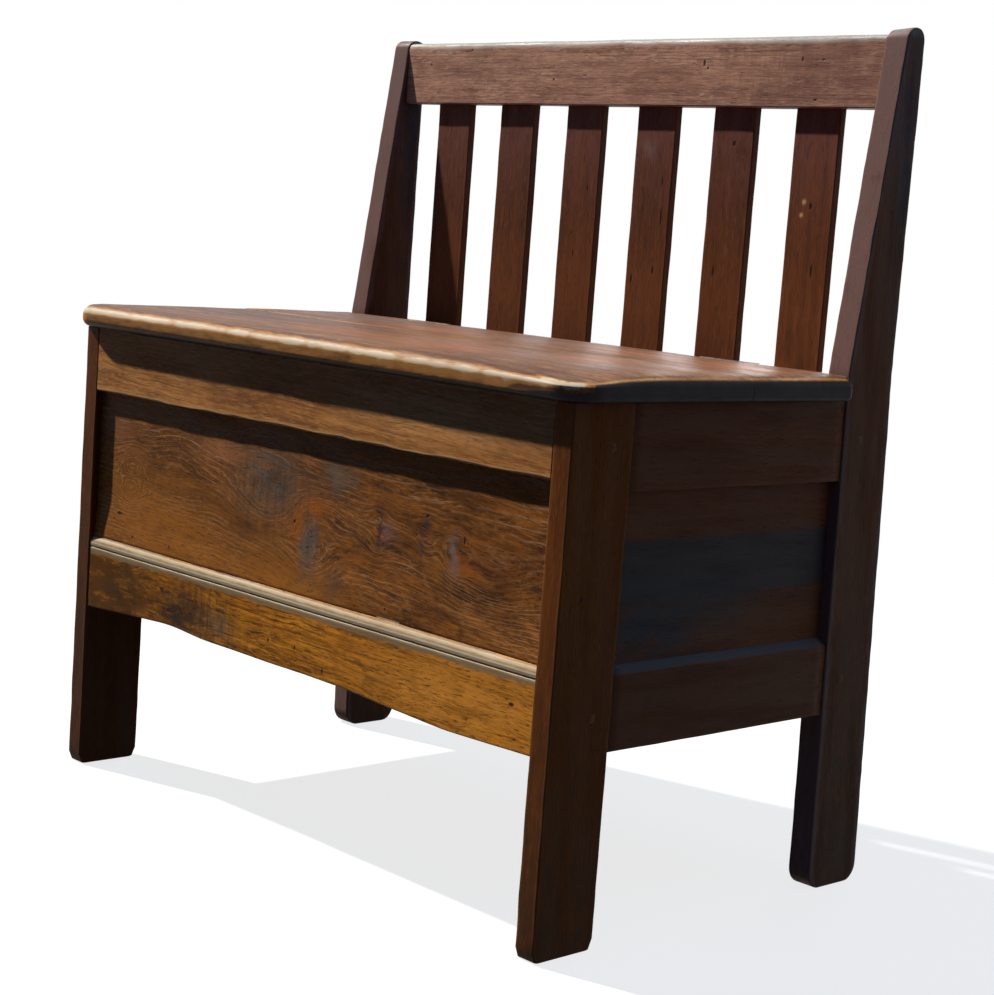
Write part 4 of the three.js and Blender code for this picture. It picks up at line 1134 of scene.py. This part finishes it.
def seat_skin(name, along, near, far, edge_distance, joint_distance, seed):
    """A plank of the seat over its plan: the top lies at the seat's height less the fall of a quarter of an
    ellipse at the distance to the rounded outline, and less a small ease at the joint. The underside rises
    there by a smaller quarter round."""
    first = SEAT_NOSE * (1 - np.cos(np.linspace(0, math.pi / 2, 13)))
    last = np.array([6, 3, 1.6, 0.9, 0.5, 0.2, 0]) * MM
    share = np.linspace(0, 1, 18)[1:-1]
    start = near[:, None] + first
    end = far[:, None] - last
    inner = start[:, -1:] + share * (end[:, :1] - start[:, -1:])
    depth = np.concatenate([start, inner, end], axis=1)
    x = np.broadcast_to(along[:, None], depth.shape)
    flat = np.stack([x, depth, np.zeros_like(x)], -1)
    nose, joint = edge_distance(x, depth), joint_distance(depth)

    uneven = 1 + 0.22 * unevenness(flat, 0.05, seed + 2) + 0.1 * unevenness(flat, 0.012, seed + 3)
    reach = NOSE_REACH * uneven
    shoulder = SEAT_NOSE / reach * eased(nose, reach)
    ripple = 0.0004 * unevenness(flat, 0.11, seed) + 0.00015 * unevenness(flat, 0.035, seed + 1)
    ripple = ripple * np.clip(nose / SEAT_NOSE, 0, 1)
    from_end = SEAT_HALF - x
    sunk = CORNER_SUNK * bell(from_end, 0.085) * bell(depth - SEAT_FRONT, 0.06)
    sunk = sunk + END_SUNK * bell(from_end, 0.02)
    fallen = np.maximum(shoulder, eased(joint, JOINT_EASE))
    top = SEAT_HEIGHT - fallen * (1 - sunk / SEAT_NOSE) - sunk + ripple - TOP_WORN
    under_round = NOSE_UNDER * (1 - 0.27 * x / SEAT_HALF)
    bottom = SEAT_HEIGHT - SEAT_THICKNESS + np.maximum(eased(nose, under_round), eased(joint, JOINT_EASE))
    upper, lower = np.stack([x, depth, top], -1), np.stack([x, depth, bottom], -1)
    points = np.concatenate([upper, lower[:, ::-1]], axis=1)
    points = points + waver(points, 0.00035, seed + 5, size=0.06) * [0, 1, 0.4]
    above, beneath = seat_wear(flat, shoulder, nose, joint, bottom, seed)
    return skin(name, points, np.concatenate([above, beneath[:, ::-1]], axis=1))


def seat_finish(name, seed, heart, pale, mid, **marks):
    """The seat's oak, greyed and handled, with the marks of one plank."""
    return oak(
        name, "xyz", pale, mid, rgb(66, 36, 24), heart=heart, ring_gap=0.0075, sway=0.006, swirl=0.8,
        streaks=0.7, bands=0.85, rings=0.35, fibres=0.45, mottle=0.7, pores=0.4, flecks=0.5,
        fleck=rgb(164, 114, 72), dashes=(34, 300), worn=rgb(176, 158, 132), half_worn=rgb(150, 102, 50),
        # the near-black colour below nought is painted shade, and on the right end also darker end grain
        wear=0.94, soot_and_shade=rgb(16, 12, 16), gloss=(0.44, 0.56), level=0.075, relief=0.35, grime=0.3, seed=seed,
        slope=0.01, **marks,
    )


def corner_distance(from_end, from_edge, radius):
    """The distance to a corner's arc, from a place inside the square of its radius."""
    return radius - np.hypot(np.maximum(radius - from_end, 0), np.maximum(radius - from_edge, 0))


WARM, GREYED = rgb(136, 82, 44), rgb(98, 82, 80)


def seat_front_board():
    """The front plank: rounded nose on three sides, with the corners of the plan turned to a radius."""
    along = seat_stations()
    inward = SEAT_HALF - np.abs(along)
    near = SEAT_FRONT + eased(inward, SEAT_CORNER)
    far = np.full_like(along, SEAT_JOINT - FIT_GAP)

    def edge_distance(x, depth):
        """The distance in from the front edge and the ends, round the corners."""
        from_end, from_edge = SEAT_HALF - np.abs(x), depth - SEAT_FRONT
        in_corner = np.maximum(from_end, from_edge) < SEAT_CORNER
        corner = corner_distance(from_end, from_edge, SEAT_CORNER)
        return np.clip(np.where(in_corner, corner, np.minimum(from_end, from_edge)), 0, None)

    def joint_distance(depth):
        return far[:, None] - depth

    piece = seat_skin("shaped_seat_front_board", along, near, far, edge_distance, joint_distance, 201)
    finish = seat_finish(
        "front plank oak", 71, (-0.02, 0.40), rgb(115, 78, 48), rgb(88, 57, 37),
        stains=[
            (-0.231, -0.19, 0.03, 0.02, 0.6, rgb(68, 56, 52)), (0.1, -0.1, 0.2, 0.02, 0.35, rgb(140, 84, 46)),
            (0.13, -0.13, 0.06, 0.03, 0.6, WARM), (0.24, -0.07, 0.05, 0.025, 0.6, WARM),
            (-0.04, -0.14, 0.1, 0.03, 0.5, WARM), (0.03, -0.05, 0.06, 0.03, 0.45, WARM),
            (-0.2, -0.16, 0.08, 0.02, 0.4, WARM), (0.19, -0.1, 0.05, 0.03, 0.5, GREYED),
            (0.07, -0.09, 0.05, 0.025, 0.5, GREYED), (0.3, -0.12, 0.04, 0.05, 0.45, GREYED),
            # the second stain on the next line, pale pinkish-brown at the right, is painted sheen
            (-0.27, -0.08, 0.16, 0.14, 0.6, rgb(72, 54, 48)), (0.3, -0.03, 0.14, 0.05, 0.3, rgb(128, 96, 80)),
        ],
        holes=[(0.337, -0.216, 0.003, 0.002), (0.345, -0.205, 0.002, 0.0012), (0.322, -0.22, 0.0015, 0.0012)],
    )
    return settled(piece, "lid", ["seat_front_board"], finish)


def seat_back_board():
    """The back plank: its back corners are turned to a small radius and its back edge has a recess for
    each hinge."""
    pockets = []
    for hand in ("left", "right"):
        low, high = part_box(f"hinge_{hand}_moving_leaf")
        pockets += [low.x - POCKET_GAP, high.x + POCKET_GAP]
    along = seat_stations(pockets)
    inward = SEAT_HALF - np.abs(along)
    near = np.full_like(along, SEAT_JOINT + FIT_GAP)
    far = SEAT_BACK - eased(inward, SEAT_BACK_CORNER)
    for start, end in (pockets[:2], pockets[2:]):
        far = np.where((along > start) & (along < end), low.y - POCKET_GAP, far)

    def edge_distance(x, depth):
        """The distance in from the ends, round the back corners."""
        from_end, from_edge = SEAT_HALF - np.abs(x), SEAT_BACK - depth
        in_corner = np.maximum(from_end, from_edge) < SEAT_BACK_CORNER
        corner = np.minimum(corner_distance(from_end, from_edge, SEAT_BACK_CORNER), from_end)
        return np.clip(np.where(in_corner, corner, from_end), 0, None)

    def joint_distance(depth):
        return np.minimum(depth - near[:, None], (far[:, None] - depth) * 0.45)

    piece = seat_skin("shaped_seat_back_board", along, near, far, edge_distance, joint_distance, 211)
    finish = seat_finish(
        "back plank oak", 83, (0.10, 0.43), rgb(114, 79, 55), rgb(88, 59, 42),
        stains=[
            (0.15, 0.07, 0.08, 0.03, 0.5, WARM), (-0.1, 0.04, 0.08, 0.03, 0.45, WARM),
            (0.3, 0.06, 0.05, 0.04, 0.6, WARM), (0.05, 0.08, 0.06, 0.03, 0.45, GREYED),
            (-0.25, 0.08, 0.09, 0.04, 0.4, GREYED),
        ],
        holes=[
            (-0.211, 0.114, 0.007, 0.0016), (-0.191, 0.112, 0.008, 0.0014), (-0.176, 0.118, 0.005, 0.0012),
            (-0.159, 0.121, 0.0018, 0.0035),
        ],
    )
    return settled(piece, "lid", ["seat_back_board"], finish)


seat_front_board()
seat_back_board()


# Floor, light and camera


def only_seen(tree):
    """One where a ray comes from the camera, a mirror or glass, and nought where it only carries light."""
    path = tree.nodes.new("ShaderNodeLightPath").outputs
    seen = path["Is Camera Ray"]
    for kind in ("Is Glossy Ray", "Is Transmission Ray"):
        either = tree.nodes.new("ShaderNodeMath")
        either.operation = "MAXIMUM"
        feed(either.inputs[0], seen)
        feed(either.inputs[1], path[kind])
        seen = either.outputs[0]
    return seen


FLOOR_HALF = 30


def pale_floor():
    """A pale floor that keeps the shadow and fades into the white behind."""
    mesh = bpy.data.meshes.new("floor")
    corners = [(x * FLOOR_HALF, y * FLOOR_HALF, 0) for x, y in ((-1, -1), (1, -1), (1, 1), (-1, 1))]
    mesh.from_pydata(corners, [], [(0, 1, 2, 3)])
    floor = bpy.data.objects.new("floor", mesh)
    bpy.context.scene.collection.objects.link(floor)
    f = Finish("pale floor")
    place = f.put("ShaderNodeTexCoord", out=3)
    far = f.spread(f.vector("LENGTH", place, out=1), 0.6, 2.4, 0.78, 1.0)
    shaded = f.put("ShaderNodeBsdfDiffuse", {"Color": (0.8, 0.8, 0.8, 1)})
    white = f.put("ShaderNodeEmission", {"Color": (1, 1, 1, 1), "Strength": 1.0})
    seen = f.put("ShaderNodeMixShader", {0: far, 1: shaded, 2: white})
    unseen = f.put("ShaderNodeBsdfDiffuse", {"Color": (0.008, 0.008, 0.008, 1)})
    either = f.put("ShaderNodeMixShader", {0: only_seen(f.tree), 1: unseen, 2: seen})
    floor.data.materials.append(f.done(either))


# Name, energy, angle in degrees, colour, and the way the light goes
LAMPS = (
    ("key lamp", 7.8, 1.3, (1.0, 0.97, 0.92), (3.58, 1.08, -3.6)),
    ("top lamp", 0.9, 70.0, (0.3, 0.6, 1.0), (-0.1, -0.1, -1.0)),
    ("front lamp", 0.35, 90.0, (0.0, 0.2, 1.0), (0.1, 1.0, -0.3)),
    ("side lamp", 0.4, 60.0, (0.55, 0.75, 1.0), (-1.0, -0.7, -0.3)),
    ("back lamp", 1.7, 40.0, (0.95, 0.97, 1.0), (0.45, -1.0, -0.12)),
)


def studio():
    """White surroundings as they are seen and a low even fill. The key lamp stands at the left front, broad
    faint blue lamps overhead, in front and at the right side, and one lamp behind, which only the back and
    the left side meet."""
    world = bpy.data.worlds.new("studio")
    bpy.context.scene.world = world
    world.use_nodes = True
    nodes = world.node_tree.nodes
    nodes.clear()
    fill, white = nodes.new("ShaderNodeBackground"), nodes.new("ShaderNodeBackground")
    feed(fill.inputs[0], (0.6, 0.8, 1.0, 1))
    feed(fill.inputs[1], 0.006)
    feed(white.inputs[0], (1, 1, 1, 1))
    feed(white.inputs[1], 1.0)
    both = nodes.new("ShaderNodeMixShader")
    feed(both.inputs[0], only_seen(world.node_tree))
    feed(both.inputs[1], fill.outputs[0])
    feed(both.inputs[2], white.outputs[0])
    out = nodes.new("ShaderNodeOutputWorld")
    feed(out.inputs[0], both.outputs[0])
    for name, energy, spread, colour, aim in LAMPS:
        lamp = bpy.data.lights.new(name, "SUN")
        lamp.energy = energy
        lamp.angle = math.radians(spread)
        lamp.color = colour
        stand = bpy.data.objects.new(name, lamp)
        stand.rotation_mode = "QUATERNION"
        stand.rotation_quaternion = Vector(aim).to_track_quat("-Z", "Y")
        bpy.context.scene.collection.objects.link(stand)


CAMERA_PLACE = (1.52065, -1.39902, 0.61314)
CAMERA_TURNS = (46.301, 7.554, 4.209)  # degrees round the upright, down, and about its own line of sight
FOCAL_LENGTH = 2043.01  # in pixels of the photograph
PHOTO_WIDTH = 994.0
SENSOR_WIDTH = 36.0  # the camera's own unit


def camera():
    """The photograph's own viewing angle."""
    turn, dip, roll = map(math.radians, CAMERA_TURNS)
    ahead = np.array([-math.sin(turn) * math.cos(dip), math.cos(turn) * math.cos(dip), -math.sin(dip)])
    level = np.array([math.cos(turn), math.sin(turn), 0.0])
    above = np.cross(level, ahead)
    right = math.cos(roll) * level + math.sin(roll) * above
    top = -math.sin(roll) * level + math.cos(roll) * above
    data = bpy.data.cameras.new("camera")
    data.sensor_fit = "HORIZONTAL"
    data.sensor_width = SENSOR_WIDTH
    data.lens = FOCAL_LENGTH * SENSOR_WIDTH / PHOTO_WIDTH
    data.clip_end = 200
    view = bpy.data.objects.new("camera", data)
    axes = np.stack([right, top, -ahead, CAMERA_PLACE], 1)
    view.matrix_world = Matrix([*axes, [0, 0, 0, 1]])
    bpy.context.scene.collection.objects.link(view)
    bpy.context.scene.camera = view
    bpy.context.scene.view_settings.view_transform = "Standard"


pale_floor()
studio()
camera()
